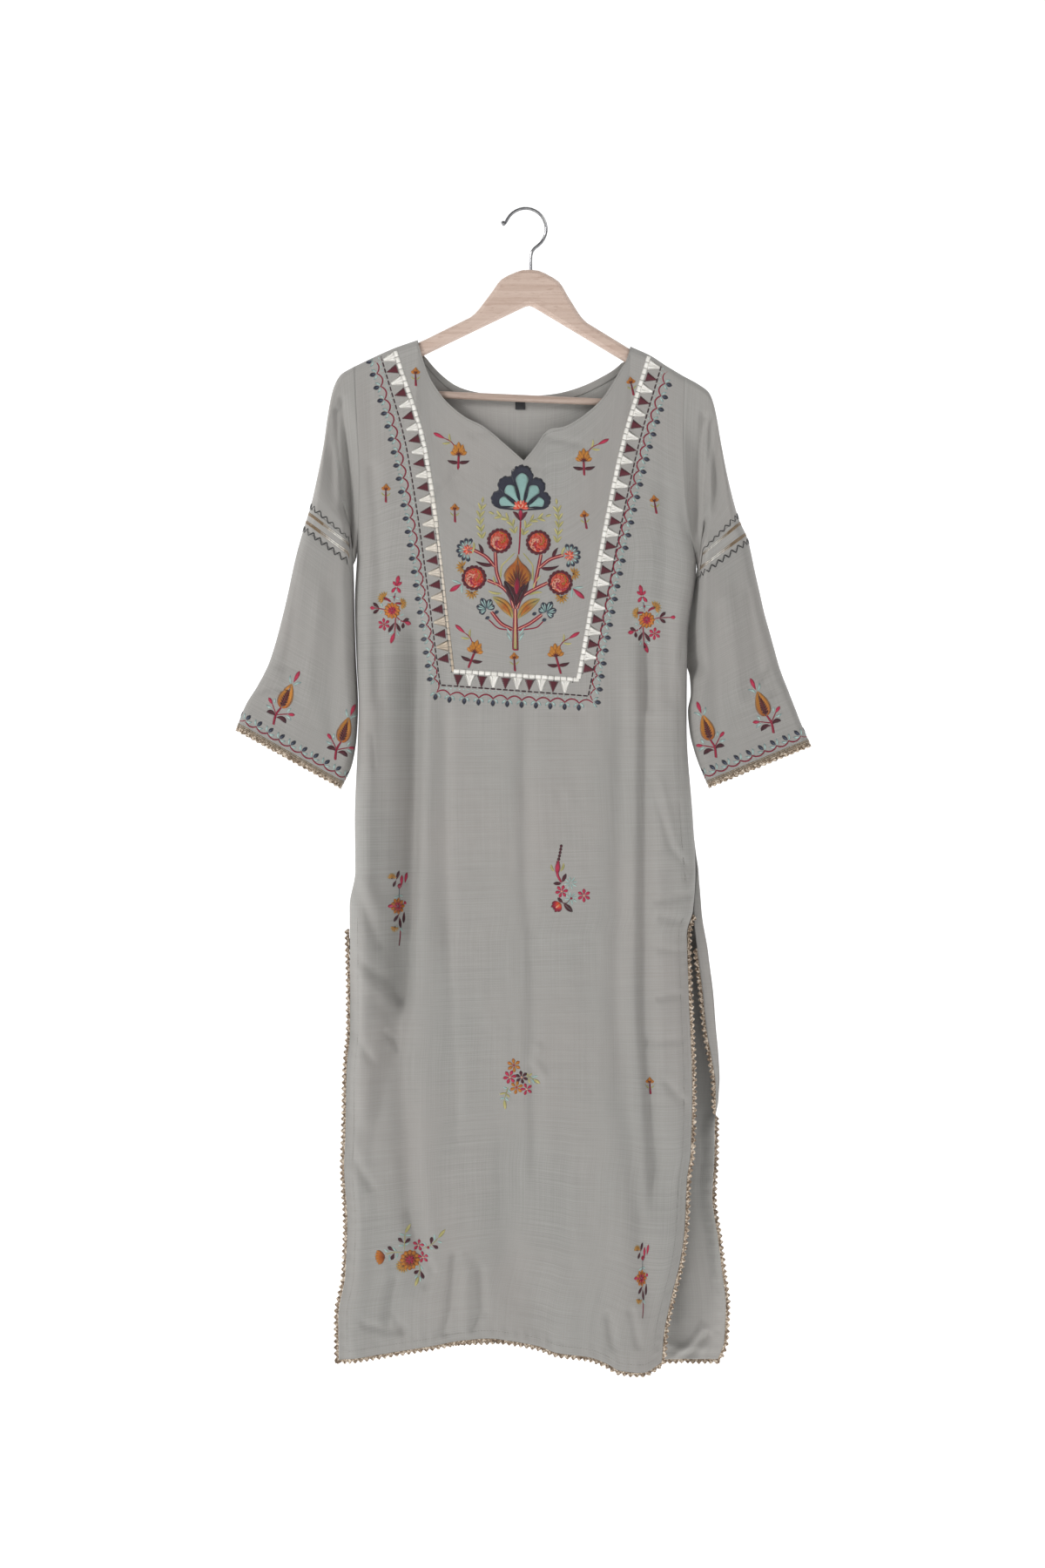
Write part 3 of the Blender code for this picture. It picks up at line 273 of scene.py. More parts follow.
SLEEVE_CREASES = {
    "left": (
        (-7, 4.5, ((-210, -222), (-203, -305), (-202, -384))),
        (-3, 3.6, ((-217, -232), (-213.5, -290), (-209, -345))),
        (-2, 2.5, ((-305, -553), (-288, -550), (-274, -552))),
        (-1.5, 4, ((-288, -521), (-262, -528))),
        (2, 8, ((-236, -440), (-250, -560))),
        (-2, 9, ((-216, -450), (-224, -600))),
        (-1.5, 6, ((-262, -430), (-276, -540))),
    ),
    "right": (
        (-3, 3.6, ((212, -244), (207, -310), (203, -360))),
        (-5, 4.5, ((203, -239), (197, -300), (193, -353), (190, -400))),
        (-2, 3, ((270, -541), (284, -519))),
        (-2, 3, ((281, -556), (301, -542))),
        (2, 8, ((232, -450), (244, -560))),
        (-2, 9, ((212, -460), (218, -600))),
        (-1.5, 6, ((254, -440), (266, -530))),
    ),
}


# ---- arithmetic ----------------------------------------------------------------------
def ease(value):
    t = np.clip(value, 0.0, 1.0)
    return t * t * (3.0 - 2.0 * t)


def mix(a, b, share):
    return a + (b - a) * share


def turn(drop, radius):
    """Share of the full depth that cloth has reached `drop` below the top of a turn."""
    t = np.clip(drop / radius, 0.0, 1.0)
    return np.sqrt(1.0 - (1.0 - t) ** 2)


def line(points, even=False):
    """Smooth function through (position, value) points, level beyond its ends."""
    rows = sorted(points)
    xs, ys = np.array([r[0] for r in rows]), np.array([r[1] for r in rows])
    spans = np.diff(xs)
    slopes = np.diff(ys) / spans
    before, after = slopes[:-1], slopes[1:]
    same = before * after > 0.0
    inner = np.where(same, 2.0 * before * after / np.where(same, before + after, 1.0), 0.0)
    if even:
        inner = (before * spans[1:] + after * spans[:-1]) / (spans[1:] + spans[:-1])
    tangents = np.concatenate([slopes[:1], inner, slopes[-1:]])

    def at(x):
        x = np.clip(x, xs[0], xs[-1])
        i = np.clip(np.searchsorted(xs, x) - 1, 0, len(spans) - 1)
        t, span = (x - xs[i]) / spans[i], spans[i]
        return (ys[i] * (1 + 2 * t) * (1 - t) ** 2 + tangents[i] * span * t * (1 - t) ** 2
                + ys[i + 1] * t * t * (3 - 2 * t) + tangents[i + 1] * span * t * t * (t - 1))

    return at


def cornered(points, corners):
    """The same, but with a sharp turn at each of the corners' positions."""
    inside = [x for x, _ in points[1:-1] if x in corners]
    ends = [points[0][0], *inside, points[-1][0]]
    runs = [line([p for p in points if low <= p[0] <= high], True)
            for low, high in zip(ends, ends[1:])]

    def at(x):
        which = np.clip(np.searchsorted(ends, x) - 1, 0, len(runs) - 1)
        return np.choose(which, [run(x) for run in runs])

    return at


def straight(points, at):
    return np.interp(at, [p[0] for p in points], [p[1] for p in points])


def unit(v):
    return v / np.linalg.norm(v, axis=-1, keepdims=True)


def lengths(points):
    """Lengths along a line of points, from 0 at its start."""
    return np.concatenate([[0.0], np.cumsum(np.linalg.norm(np.diff(points, axis=0), axis=1))])


def read_off(s, at, values):
    """Rows of values at the lengths s, from those that stand at the lengths `at`."""
    return np.stack([np.interp(s, at, column) for column in np.asarray(values).T], axis=-1)


def lattice(x, z, size, seed):
    """Smooth unevenness between -1 and 1, with bumps about `size` across."""
    grid = np.random.default_rng(seed).uniform(-1.0, 1.0, (64, 64))
    u, v = x / size + 500.0, z / size + 500.0
    i, j = np.floor(u).astype(int), np.floor(v).astype(int)
    s, t = ease(u - i), ease(v - j)
    low = mix(grid[i % 64, j % 64], grid[(i + 1) % 64, j % 64], s)
    high = mix(grid[i % 64, (j + 1) % 64], grid[(i + 1) % 64, (j + 1) % 64], s)
    return mix(low, high, t)


def fold_depth(folds, x, z):
    """How far the long folds push the cloth forward at (x, z)."""
    total = np.zeros(np.broadcast(x, z).shape)
    for depth, left, right, points in folds:
        depth = depth * FOLD_GAIN
        away = x - line(points)(z)
        width = np.where(away < 0.0, left, right)
        fade = ease((points[0][0] + FOLD_FADE - z) / (2 * FOLD_FADE))
        fade = fade * ease((z - points[-1][0] + FOLD_FADE) / FOLD_FADE)
        total = total + depth * fade * np.exp(-(away / width) ** 2)
    return total


def crease_depth(creases, x, z):
    """How far the short creases push the cloth forward at (x, z)."""
    total = np.zeros(np.broadcast(x, z).shape)
    for depth, width, points in creases:
        nearest = np.full(total.shape, 1e9)
        for (ax, az), (bx, bz) in zip(points, points[1:]):
            run = (bx - ax) ** 2 + (bz - az) ** 2
            share = np.clip(((x - ax) * (bx - ax) + (z - az) * (bz - az)) / run, 0.0, 1.0)
            gap = (x - mix(ax, bx, share)) ** 2 + (z - mix(az, bz, share)) ** 2
            nearest = np.minimum(nearest, gap)
        total = total + CREASE_GAIN * depth * np.exp(-nearest / width ** 2)
    return total


def softness(x, z, seed):
    """Small unevenness of hanging cloth: long ripples, and a fine crumple."""
    ripples = 0.9 * lattice(x, z * 0.22, 24.0, seed) + 0.35 * lattice(x, z * 0.4, 10.0, seed + 1)
    return ripples + 0.16 * lattice(x * 0.6, z, 6.0, seed + 2)


def drawn_up(stitching, away, along, share):
    """Ripples that a row of stitching draws up in the cloth beside an edge."""
    place, width, ripple, drift = stitching
    near = np.exp(-((away - place) / width) ** 2) * share
    return 0.5 * near * np.sin(along / ripple + 2.0 * np.sin(along / drift))


# ---- the body's surface --------------------------------------------------------------
class Panel:
    """Front or back of the body. Rows run down and columns across, and both may be fractions."""

    def __init__(self, facing, neck, hem, folds, creases, depth, edges, belly, seed):
        self.facing = facing
        self.hem = hem
        self.hem_line = line(hem)
        self.folds = folds
        self.creases = creases
        self.depth = line(depth)
        self.edges = [line(edge) for edge in edges]
        self.belly = line(belly) if belly else None
        self.seed = seed
        self.tips = (SHOULDER_LEFT[0], SHOULDER_RIGHT[-1])
        self.top = cornered(SHOULDER_LEFT[:-1] + neck + SHOULDER_RIGHT[1:], NECK_CORNERS)
        self.flat = np.array([self.tips[0][0] + ROLL_WIDTH, SHOULDER_LEFT[2][0],
                              *[x for x, _z in neck],
                              SHOULDER_RIGHT[1][0], self.tips[1][0] - ROLL_WIDTH])
        self.drops = [self.row_drops(0), self.row_drops(1)]
        self.roll = len(ROLL_COLUMNS) - 1
        self.last_column = len(self.flat) - 1 + 2 * self.roll
        self.last_row = len(self.drops[0]) - 1

    def row_drops(self, side):
        slit = SLIT_DROPS[side]
        length = self.tips[side][1] - (self.hem[0], self.hem[-1])[side][1]
        drops = list(ROLL_ROWS + ARMHOLE_ROWS)
        drops += [mix(UNDERARM_DROP, slit, (i + 1) / ROWS_TO_SLIT) for i in range(ROWS_TO_SLIT)]
        drops += [mix(slit, length, (i + 1) / ROWS_BELOW_SLIT) for i in range(ROWS_BELOW_SLIT)]
        return np.array(drops)

    def edge(self, side, rows):
        """Edge points of rows, the belly there, and how fully the panel turns into a seam."""
        drop = np.interp(rows, np.arange(self.last_row + 1), self.drops[side])
        z = self.tips[side][1] - drop
        x = self.edges[side](z)
        below = drop - SLIT_DROPS[side]
        centre = line(SIDE_SET)(z) if side else np.zeros(z.shape)
        belly = self.belly(z) if side and self.belly else np.zeros(z.shape)
        armhole = straight(ARMHOLE_DEPTH, drop) * turn(drop, SHOULDER_RADIUS)
        flap = line(FLAP_DEPTH)(below) * (1.0 - ease(belly / BELLY_FULL))
        half = np.where(drop < UNDERARM_DROP, armhole, np.where(below <= 0.0, 0.0, flap))
        seam = np.where(below <= 0.0, 1.0, 1.0 - ease(below / SLIT_FADE))
        turned = np.where(drop < UNDERARM_DROP,
                          ease((drop - TURN_START) / (UNDERARM_DROP - TURN_START)), seam)
        y = centre + self.facing * np.maximum(half, SEAM_GAP / 2)
        return x, y, z, belly, turned

    def roll_x(self, side, edge, share):
        outward = 1.0 if side else -1.0
        x, _y, _z, belly, turned = edge
        arc = 1.0 - np.cos(share * math.pi / 2)
        plain = x - outward * ROLL_WIDTH * mix(share, arc, turned)
        angle = mix(-np.arccos(1.0 - belly / ROLL_WIDTH), math.pi / 2, share)
        clear = BELLY_CLEAR * np.minimum(belly, 1.0)
        full = x + belly + clear - ROLL_WIDTH * (1.0 - np.cos(angle))
        return mix(plain, full, ease(belly / BELLY_SOFT))

    def roll_y(self, edge, share, flat_y):
        _x, y, _z, belly, turned = edge
        start = -np.arccos(1.0 - belly / ROLL_WIDTH)
        angle = mix(start, math.pi / 2, share)
        forward = BELLY_FORWARD * ease(belly / BELLY_FULL)
        centre = y - forward * np.sin(start)
        full = np.where(angle < 0.0, centre + forward * np.sin(angle),
                        mix(centre, flat_y, np.sin(angle)))
        plain = mix(y, flat_y, mix(ease(share), np.sin(share * math.pi / 2), turned))
        return mix(plain, full, ease(belly / BELLY_SOFT))

    def across(self, x):
        return np.clip((x - self.tips[0][0]) / (self.tips[1][0] - self.tips[0][0]), 0.0, 1.0)

    def points(self, rows, columns):
        """Points (row, column, xyz) in millimetres for lists of rows and columns."""
        rows = np.asarray(rows, float)[:, None]
        columns = np.asarray(columns, float)[None, :]
        left, right = self.edge(0, rows), self.edge(1, rows)
        last = self.last_column
        stops = np.arange(self.roll + 1)
        left_share = np.interp(columns, stops, ROLL_COLUMNS)
        right_share = np.interp(last - columns, stops, ROLL_COLUMNS)
        at_left, at_right = columns < self.roll, columns > last - self.roll
        low, high = self.roll_x(0, left, 1.0), self.roll_x(1, right, 1.0)
        index = np.clip(columns - self.roll, 0, len(self.flat) - 1)
        x_top = np.interp(index, np.arange(len(self.flat)), self.flat)
        drop = np.interp(rows, np.arange(self.last_row + 1), self.drops[0])
        placed = mix(low, high, (x_top - self.flat[0]) / (self.flat[-1] - self.flat[0]))
        even = mix(low, high, index / (len(self.flat) - 1))
        x = mix(placed, even, ease(drop / EVEN_DROP))
        x = np.where(at_left, self.roll_x(0, left, left_share), x)
        x = np.where(at_right, self.roll_x(1, right, right_share), x)
        z = self.height(drop, x, x_top, at_left | at_right, left, right)
        fall = np.maximum(mix(self.tips[0][1], self.tips[1][1], self.across(x)) - z, 0.0)
        relief = fold_depth(self.folds, x, z) + crease_depth(self.creases, x, z)
        relief = relief + softness(x, z, self.seed) * ease(fall / CRUMPLE_START)
        y = self.facing * self.depth(fall) - relief
        y = y + drawn_up(HEM_STITCHING, z - self.hem_line(x), x, fall > HEM_STITCH_FALL)
        y = y * turn(straight(SHOULDER_LEFT + SHOULDER_RIGHT, x) - z, SHOULDER_RADIUS)
        y = np.where(at_left, self.roll_y(left, left_share, y), y)
        y = np.where(at_right, self.roll_y(right, right_share, y), y)
        below = np.maximum(drop - SLIT_DROPS[0], 0.0)
        edge_away = np.where(at_left, left_share, right_share) * ROLL_WIDTH
        pucker = drawn_up(SLIT_STITCHING, edge_away, z, ease(below / PUCKER_FADE))
        y = y + pucker * (at_left | at_right)
        flutter = FLUTTER * lattice(x * 0.25, z, 30.0, self.seed + 5) * ease(below / FLUTTER_FADE)
        loose = np.where(at_left, 1.0 - left_share, np.where(at_right, 1.0 - right_share, 0.0))
        y = y + loose * flutter
        top = np.where(rows < 0.5, SEAM_GAP / 2, 0.0)
        y = self.facing * np.maximum(self.facing * y, top)
        return np.stack([x, y, z], axis=-1)

    def height(self, drop, x, x_top, in_roll, left, right):
        share = np.clip((x - left[0]) / (right[0] - left[0]), 0.0, 1.0)
        level = mix(left[2], right[2], share)
        x_top = np.where(in_roll, mix(self.tips[0][0], self.tips[1][0], share), x_top)
        top_line = mix(self.tips[0][1], self.tips[1][1], self.across(x_top))
        top_bend = self.top(x_top) - top_line
        hem_line = mix(self.hem[0][1], self.hem[-1][1], share)
        hem_bend = self.hem_line(mix(self.hem[0][0], self.hem[-1][0], share)) - hem_line
        fall = 1.0 - ease(drop / NECK_FADE)
        rise = ease((drop - HEM_RISE_START) / (self.drops[0][-1] - HEM_RISE_START))
        return level + top_bend * fall + hem_bend * rise


# ---- the sleeves' surface ------------------------------------------------------------
class Sleeve:
    """A sleeve as rings: from the outer edge down the front and up the back."""

    def __init__(self, side, table, outward, front, back):
        self.table = table
        self.outward = outward
        self.side = side
        self.tuck = line(SLEEVE_TUCK[side])
        self.columns = [line([(row[0], row[i]) for row in table]) for i in range(1, len(table[0]))]
        half_rows = np.linspace(0.0, UNDERARM_ROW, HALF_RING)
        column = 0 if side == "left" else front.last_column
        drops = front.drops[0][:UNDERARM_ROW + 1]
        shares = np.interp(half_rows, np.arange(UNDERARM_ROW + 1), drops) / UNDERARM_DROP
        down = front.points(half_rows, [column])[:, 0]
        up = back.points(half_rows, [back.last_column if column else 0])[:, 0]
        for end in (0, -1):
            down[end] = up[end] = (down[end] + up[end]) / 2
        self.home = np.concatenate([down, up[-2:0:-1]])
        self.shares = np.concatenate([shares, shares[-2:0:-1]])
        self.facings = np.concatenate([-np.ones(HALF_RING), np.ones(HALF_RING - 2)])

    def loose(self, downs):
        """Rings before they are seated on the armhole."""
        downs = np.asarray(downs, float)[:, None]
        outer_x, outer_z, inner_x, inner_z, half, bend = [column(downs) for column in self.columns]
        share = self.shares[None, :]
        tail = (share - BEND_START) / (1.0 - BEND_START)
        bent = np.where(share <= BEND_START, share / BEND_START * (1.0 - bend),
                        1.0 - bend * (1.0 - tail))
        fallen = mix(share, bent, np.minimum(bend / 0.1, 1.0))
        width = np.hypot(outer_x - inner_x, outer_z - inner_z)
        from_outer, from_inner = share * width, (1.0 - share) * width
        ends = ease((from_outer - 35.0) / 45.0) * ease((from_inner - 25.0) / 40.0)
        half = mix(mix(CAP_HALF, half, ends), half, ease((downs - CAP_END) / 80.0))
        y = half * turn(from_outer, np.maximum(SHOULDER_RADIUS, 0.6 * half))
        y = self.facings[None, :] * y * turn(from_inner, 0.8 * half)
        y = mix(y, TUCK_DEPTH, self.tuck(downs) * ease((share - 0.75) / 0.25))
        return np.stack([mix(outer_x, inner_x, share), y, mix(outer_z, inner_z, fallen)], axis=-1)

    def points(self, downs):
        """Points (down, around, xyz) in millimetres for a list of distances down."""
        downs = np.asarray(downs, float)
        placed, start = self.loose(downs), self.loose([0.0])
        hold = (1.0 - ease(downs / CAP_BLEND))[:, None, None]
        aside = 0.05 + UNDERARM_CLEAR * ease((self.shares - 0.8) / 0.2)
        seat = self.home.copy()
        seat[:, 0] += self.outward * aside
        p = placed + (seat[None] - start) * hold
        x, z = p[..., 0], p[..., 2]
        flat = ease(self.shares / 0.12) * ease((1.0 - self.shares) / 0.1)
        relief = crease_depth(SLEEVE_CREASES[self.side], x, z) * (self.facings < 0)
        relief = relief + softness(x, z, 40 if self.outward < 0 else 60) * 0.8
        cuff = (self.table[-1][0] - downs)[:, None]
        relief = relief + 0.35 * np.exp(-(cuff / 12.0) ** 2) * np.sin(x / 2.6)
        p[..., 1] -= relief * flat * ease(downs / 40.0)[:, None]
        return p


# ---- making meshes -------------------------------------------------------------------
def add_piece(name, mesh, material):
    """Puts a mesh in the scene as a piece of the garment."""
    mesh.materials.append(material)
    piece = bpy.data.objects.new(name, mesh)
    bpy.context.scene.collection.objects.link(piece)
    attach(piece, "root")
    return piece


def measured(p):
    """Lengths across and down a grid of points, in metres, as its cloth was cut."""
    across = np.linalg.norm(np.diff(p, axis=1), axis=-1).mean(axis=0)
    down = np.linalg.norm(np.diff(p, axis=0), axis=-1).mean(axis=1)
    u = np.concatenate([[0.0], np.cumsum(across)]) * MM
    v = np.concatenate([[0.0], np.cumsum(down)]) * MM
    return u, v


def grid_piece(name, p, material, wall=WALL, closed=False):
    """Cloth through a grid of points (row, column, xyz), with its cut as the UV map."""
    if closed:
        p = np.concatenate([p, p[:, :1]], axis=1)
    rows, columns = p.shape[:2]
    u, v = measured(p)
    bm = bmesh.new()
    verts = [bm.verts.new(co) for co in (p.reshape(-1, 3) * MM).tolist()]
    uv = bm.loops.layers.uv.new("cut")
    for r in range(rows - 1):
        for c in range(columns - 1):
            corners = ((r, c), (r, c + 1), (r + 1, c + 1), (r + 1, c))
            face = bm.faces.new([verts[i * columns + j] for i, j in corners])
            face.smooth = True
            for loop, (i, j) in zip(face.loops, corners):
                loop[uv].uv = (u[j], -v[i])
    if closed:
        bmesh.ops.remove_doubles(bm, verts=bm.verts, dist=1e-7)
    mesh = bpy.data.meshes.new(name)
    bm.to_mesh(mesh)
    bm.free()
    piece = add_piece(name, mesh, material)
    solid = piece.modifiers.new("wall", "SOLIDIFY")
    solid.thickness = wall * MM
    solid.offset = 0.0
    solid.use_even_offset = False
    return piece


# ---- lace ----------------------------------------------------------------------------
LACE_PITCH = 6.9
LACE_START = {-1: 0.12, 1: 0.4}      # rows below the top of the slit, front and back
LACE_START_BELLY = 1.1
LACE_TURN_ROWS = 3.0
LACE_CLEAR = 1.0                     # more room beside the slit, where the lace lies flat
CUFF_HEADING = ((0.7, 0.6), (1.8, 0.6), (2.9, 0.55))      # way out and radius of its threads
EDGE_HEADING = ((0.6, 0.55), (1.5, 0.5))
# Bent threads of one tooth: crest, half width in pitches, radius, lift.
LACE_TOOTH = ((5.3, 0.47, 0.62, 0.0), (4.1, 0.30, 0.60, 0.25), (3.0, 0.14, 0.55, 0.35))


class Run:
    """A line along the cloth with its outward and face directions, read by length in mm."""

    def __init__(self, points, outs):
        self.at, self.points, self.outs = lengths(points), points, outs
        self.length = self.at[-1]

    def read(self, s):
        p, out, ahead, behind = [read_off(*each) for each in (
            (s, self.at, self.points), (s, self.at, self.outs),
            (s + 2.0, self.at, self.points), (s - 2.0, self.at, self.points))]
        along = unit(ahead - behind)
        out = unit(out - along * (out * along).sum(axis=-1, keepdims=True))
        return p, out, np.cross(along, out)


def tube(path, radius, sides, lists, caps=True):
    """Adds a tube along (s, out, face) points to lists of vertices and faces."""
    verts, faces = lists
    path = np.asarray(path, float)
    ways = unit(np.gradient(path, axis=0))
    first = len(verts)
    for point, way in zip(path, ways):
        flat = np.array([-way[1], way[0], 0.0])
        flat = flat / max(np.linalg.norm(flat), 1e-9)
        lift = np.cross(way, flat)
        for k in range(sides):
            angle = 2.0 * math.pi * k / sides
            verts.append(point + radius * (math.cos(angle) * flat + math.sin(angle) * lift))
    for i in range(len(path) - 1):
        a, b = first + i * sides, first + (i + 1) * sides
        faces += [(a + k, a + (k + 1) % sides, b + (k + 1) % sides, b + k) for k in range(sides)]
    if caps:
        last = first + (len(path) - 1) * sides
        faces.append(tuple(range(first + sides - 1, first - 1, -1)))
        faces.append(tuple(range(last, last + sides)))


def lace_template(heading):
    """One tooth and its length of heading, in (along, outward, face) millimetres."""
    lists = ([], [])
    step = LACE_PITCH / 6
    for out, radius in heading:
        wave = [(i * step, out, 0.18 * math.sin(i * math.pi / 1.5)) for i in range(7)]
        tube(wave, radius, 6, lists, caps=False)
    base, middle = heading[-1][0] + 0.4, LACE_PITCH / 2
    for crest, share, radius, lift in LACE_TOOTH:
        half, near = LACE_PITCH * share, base + (crest - base) * 0.86
        tube([(middle - half, base, 0.0), (middle - half * 0.18, near, lift),
              (middle, crest, lift), (middle + half * 0.18, near, lift),
              (middle + half, base, 0.0)], radius, 6, lists)
    return np.array(lists[0]), lists[1]


def strung(name, run, template, material):
    """A template repeated along a run and bent to follow it, as one piece."""
    verts, faces = template
    count = round(run.length / LACE_PITCH)
    pitch = run.length / count
    s = np.arange(count)[:, None] * pitch + verts[None, :, 0] * pitch / LACE_PITCH
    p, o, n = run.read(s)
    co = (p + o * verts[None, :, 1:2] + n * verts[None, :, 2:3]) * MM
    size = len(verts)
    all_faces = [tuple(i + k * size for i in face) for k in range(count) for face in faces]
    mesh = bpy.data.meshes.new(name)
    mesh.from_pydata(co.reshape(-1, 3).tolist(), [], all_faces)
    mesh.shade_smooth()
    return add_piece(name, mesh, material)


def edge_run(panel):
    """The run down one slit, along the hem and up the other slit."""
    last, right = panel.last_row, panel.last_column
    pieces = []
    for column, inner in ((0, 1.0), (right, right - 1.0)):
        turned_in = bool(column and panel.belly)
        first = SLIT_ROW + (LACE_START_BELLY if turned_in else LACE_START[panel.facing])
        rows = np.linspace(first, last - 0.04, 150)
        p, q = panel.points(rows, [column])[:, 0], panel.points(rows, [inner])[:, 0]
        along = unit(p - q)
        across = np.array([1.0 if column and not turned_in else -1.0, 0.0, 0.0])
        share = ease((rows - SLIT_ROW) / LACE_TURN_ROWS)[:, None]
        out = mix(across, along, share)
        out[:, 2] = 0.0
        out = unit(out)
        aside = np.sqrt(np.maximum(1.0 - (along * out).sum(axis=1) ** 2, 0.0))[:, None]
        pieces.append((p + out * (aside * (WALL + LACE_CLEAR) / 2), out))
    columns = np.linspace(0.0, right, 260)
    p, q = panel.points([last], columns)[0], panel.points([last - 0.5], columns)[0]
    left_side, right_side = pieces
    return Run(*[np.concatenate([left_side[i], hem, right_side[i][::-1]])
                 for i, hem in enumerate((p, unit(p - q)))])


def cuff_run(sleeve):
    """The closed run round a sleeve's lower end, with the way down as outward."""
    end = sleeve.table[-1][0]
    above, ring = sleeve.points([end - 2.0, end])
    close = [*range(len(ring)), 0]
    return Run(ring[close], unit(ring - above)[close])


# ---- materials -----------------------------------------------------------------------
class Value:
    """A socket of a finish's graph. Arithmetic on it adds the Math nodes."""

    def __init__(self, finish, socket):
        self.finish = finish
        self.socket = socket

    def maths(self, operation, a, b):
        return self.finish.node("ShaderNodeMath", {"operation": operation}, {0: a, 1: b})

    def __add__(self, other):
        return self.maths("ADD", self, other)

    def __sub__(self, other):
        return self.maths("SUBTRACT", self, other)

    def __rsub__(self, other):
        return self.maths("SUBTRACT", other, self)

    def __mul__(self, other):
        return self.maths("MULTIPLY", self, other)

    def __pow__(self, other):
        return self.maths("POWER", self, other)

    __radd__ = __add__
    __rmul__ = __mul__

    def sine(self):
        return self.maths("SINE", self, 0.0)


class Finish:
    """One material and its node graph."""

    def __init__(self, name, roughness, metallic=0.0, **fixed):
        self.material = bpy.data.materials.new(name)
        self.material.use_nodes = True
        self.tree = self.material.node_tree
        self.shader = self.tree.nodes["Principled BSDF"]
        self.shader.inputs["Roughness"].default_value = roughness
        self.shader.inputs["Metallic"].default_value = metallic
        for socket, value in fixed.items():
            self.shader.inputs[socket.replace("_", " ")].default_value = value

    def put(self, socket, value):
        if isinstance(value, Value):
            self.tree.links.new(value.socket, socket)
        else:
            socket.default_value = value

    def node(self, kind, settings=None, sockets=None, output=0):
        item = self.tree.nodes.new(kind)
        for key, value in (settings or {}).items():
            if key == "stops":
                ramp = item.color_ramp
                while len(ramp.elements) < len(value):
                    ramp.elements.new(0.5)
                for element, (place, colour) in zip(ramp.elements, value):
                    element.position, element.color = place, (*colour, 1.0)
            else:
                setattr(item, key, value)
        for key, value in (sockets or {}).items():
            self.put(item.inputs[key], value)
        return Value(self, item.outputs[output])

    def place(self):
        return self.node("ShaderNodeTexCoord", output="Object")

    def cut(self, name="cut"):
        return self.node("ShaderNodeUVMap", {"uv_map": name})

    def part(self, vector, axis):
        return self.node("ShaderNodeSeparateXYZ", None, {0: vector}, output=axis)

    def scaled(self, vector, scale):
        return self.node("ShaderNodeVectorMath", {"operation": "MULTIPLY"}, {0: vector, 1: scale})

    def shaded(self, colour, level):
        """A colour made lighter or darker by a level."""
        grey = self.node("ShaderNodeCombineXYZ", None, dict.fromkeys(range(3), level))
        return self.scaled(colour, grey)

    def noise(self, vector, scale, detail=2.0, rough=0.5):
        return self.node("ShaderNodeTexNoise", None,
                         {"Vector": self.scaled(vector, scale), "Scale": 1.0, "Detail": detail,
                          "Roughness": rough})

    def blend(self, a, b, share):
        """Colour from a to b."""
        a, b = (c if isinstance(c, Value) else (*c, 1.0) for c in (a, b))
        return self.node("ShaderNodeMix", {"data_type": "RGBA"}, {0: share, 6: a, 7: b}, output=2)

    def ramp(self, value, stops):
        return self.node("ShaderNodeValToRGB", {"stops": stops}, {0: value})

    def rise(self, value, low, high, most):
        """A share that grows from nothing at low to `most` at high."""
        return self.ramp(value, ((low, (0.0,) * 3), (high, (most,) * 3)))

    def bump(self, height, distance):
        self.put(self.shader.inputs["Normal"],
                 self.node("ShaderNodeBump", None,
                           {"Height": height, "Distance": distance, "Strength": 1.0}))

    def colour(self, value):
        self.put(self.shader.inputs["Base Color"], value)

    def rough(self, value):
        self.put(self.shader.inputs["Roughness"], value)


def toned(level, *colours):
    return [tuple(level * c for c in colour) for colour in colours]


def cloth_finish(name, level, seed):
    """Slubbed plain weave: fine threads both ways, thicker ones here and there."""
    thread, shade, warm = toned(level, (0.345, 0.338, 0.322), (0.250, 0.246, 0.230),
                                (0.335, 0.308, 0.290))
    f = Finish(name, 0.86, Sheen_Weight=0.12, Sheen_Roughness=0.5)
    cut = f.cut()
    u, v = f.part(cut, 0), f.part(cut, 1)
    weft = f.noise(cut, (9.0 + seed, 1500.0, 1.0), 1.0)
    warp = f.noise(cut, (1500.0, 7.0 + seed, 1.0), 1.0)
    slub = f.noise(cut, (34.0, 700.0, 1.0), 3.0, 0.7)
    cloud = f.noise(cut, (9.0, 5.0, 1.0), 3.0)
    tone = f.blend(shade, thread, 0.5 + (weft - 0.5) * 1.5 + (warp - 0.5) * 0.9)
    tone = f.blend(tone, warm, f.rise(cloud, 0.35, 0.7, 0.45))
    tone = f.blend(tone, shade, f.rise(slub, 0.60, 0.72, 0.55))
    f.colour(tone)
    f.rough(0.80 + weft * 0.12)
    threads = 2.0 * math.pi / 0.0011
    weave = (u * threads).sine() * (v * threads).sine()
    f.bump(weave * 0.5 + weft + warp * 0.8 + slub * 0.6, 0.00012)
    return f.material


def gold_finish():
    """Metal thread spotted at random from brown to pale gold: partly the metal's own uneven tone,
    partly painted highlight and painted shade.
    """
    f = Finish("lace gold", 0.4, 0.6)
    place = f.place()
    spots = f.noise(place, (420.0, 420.0, 420.0))
    # the ramp's dark and pale ends are partly painted shade and painted highlight on the lace
    f.colour(f.ramp(spots, ((0.34, (0.130, 0.090, 0.062)), (0.5, (0.36, 0.275, 0.20)),
                            (0.64, (0.76, 0.67, 0.56)))))
    f.rough(0.26 + spots * 0.3)
    f.bump(f.noise(place, (1500.0, 1500.0, 1500.0)), 0.00015)
    return f.material


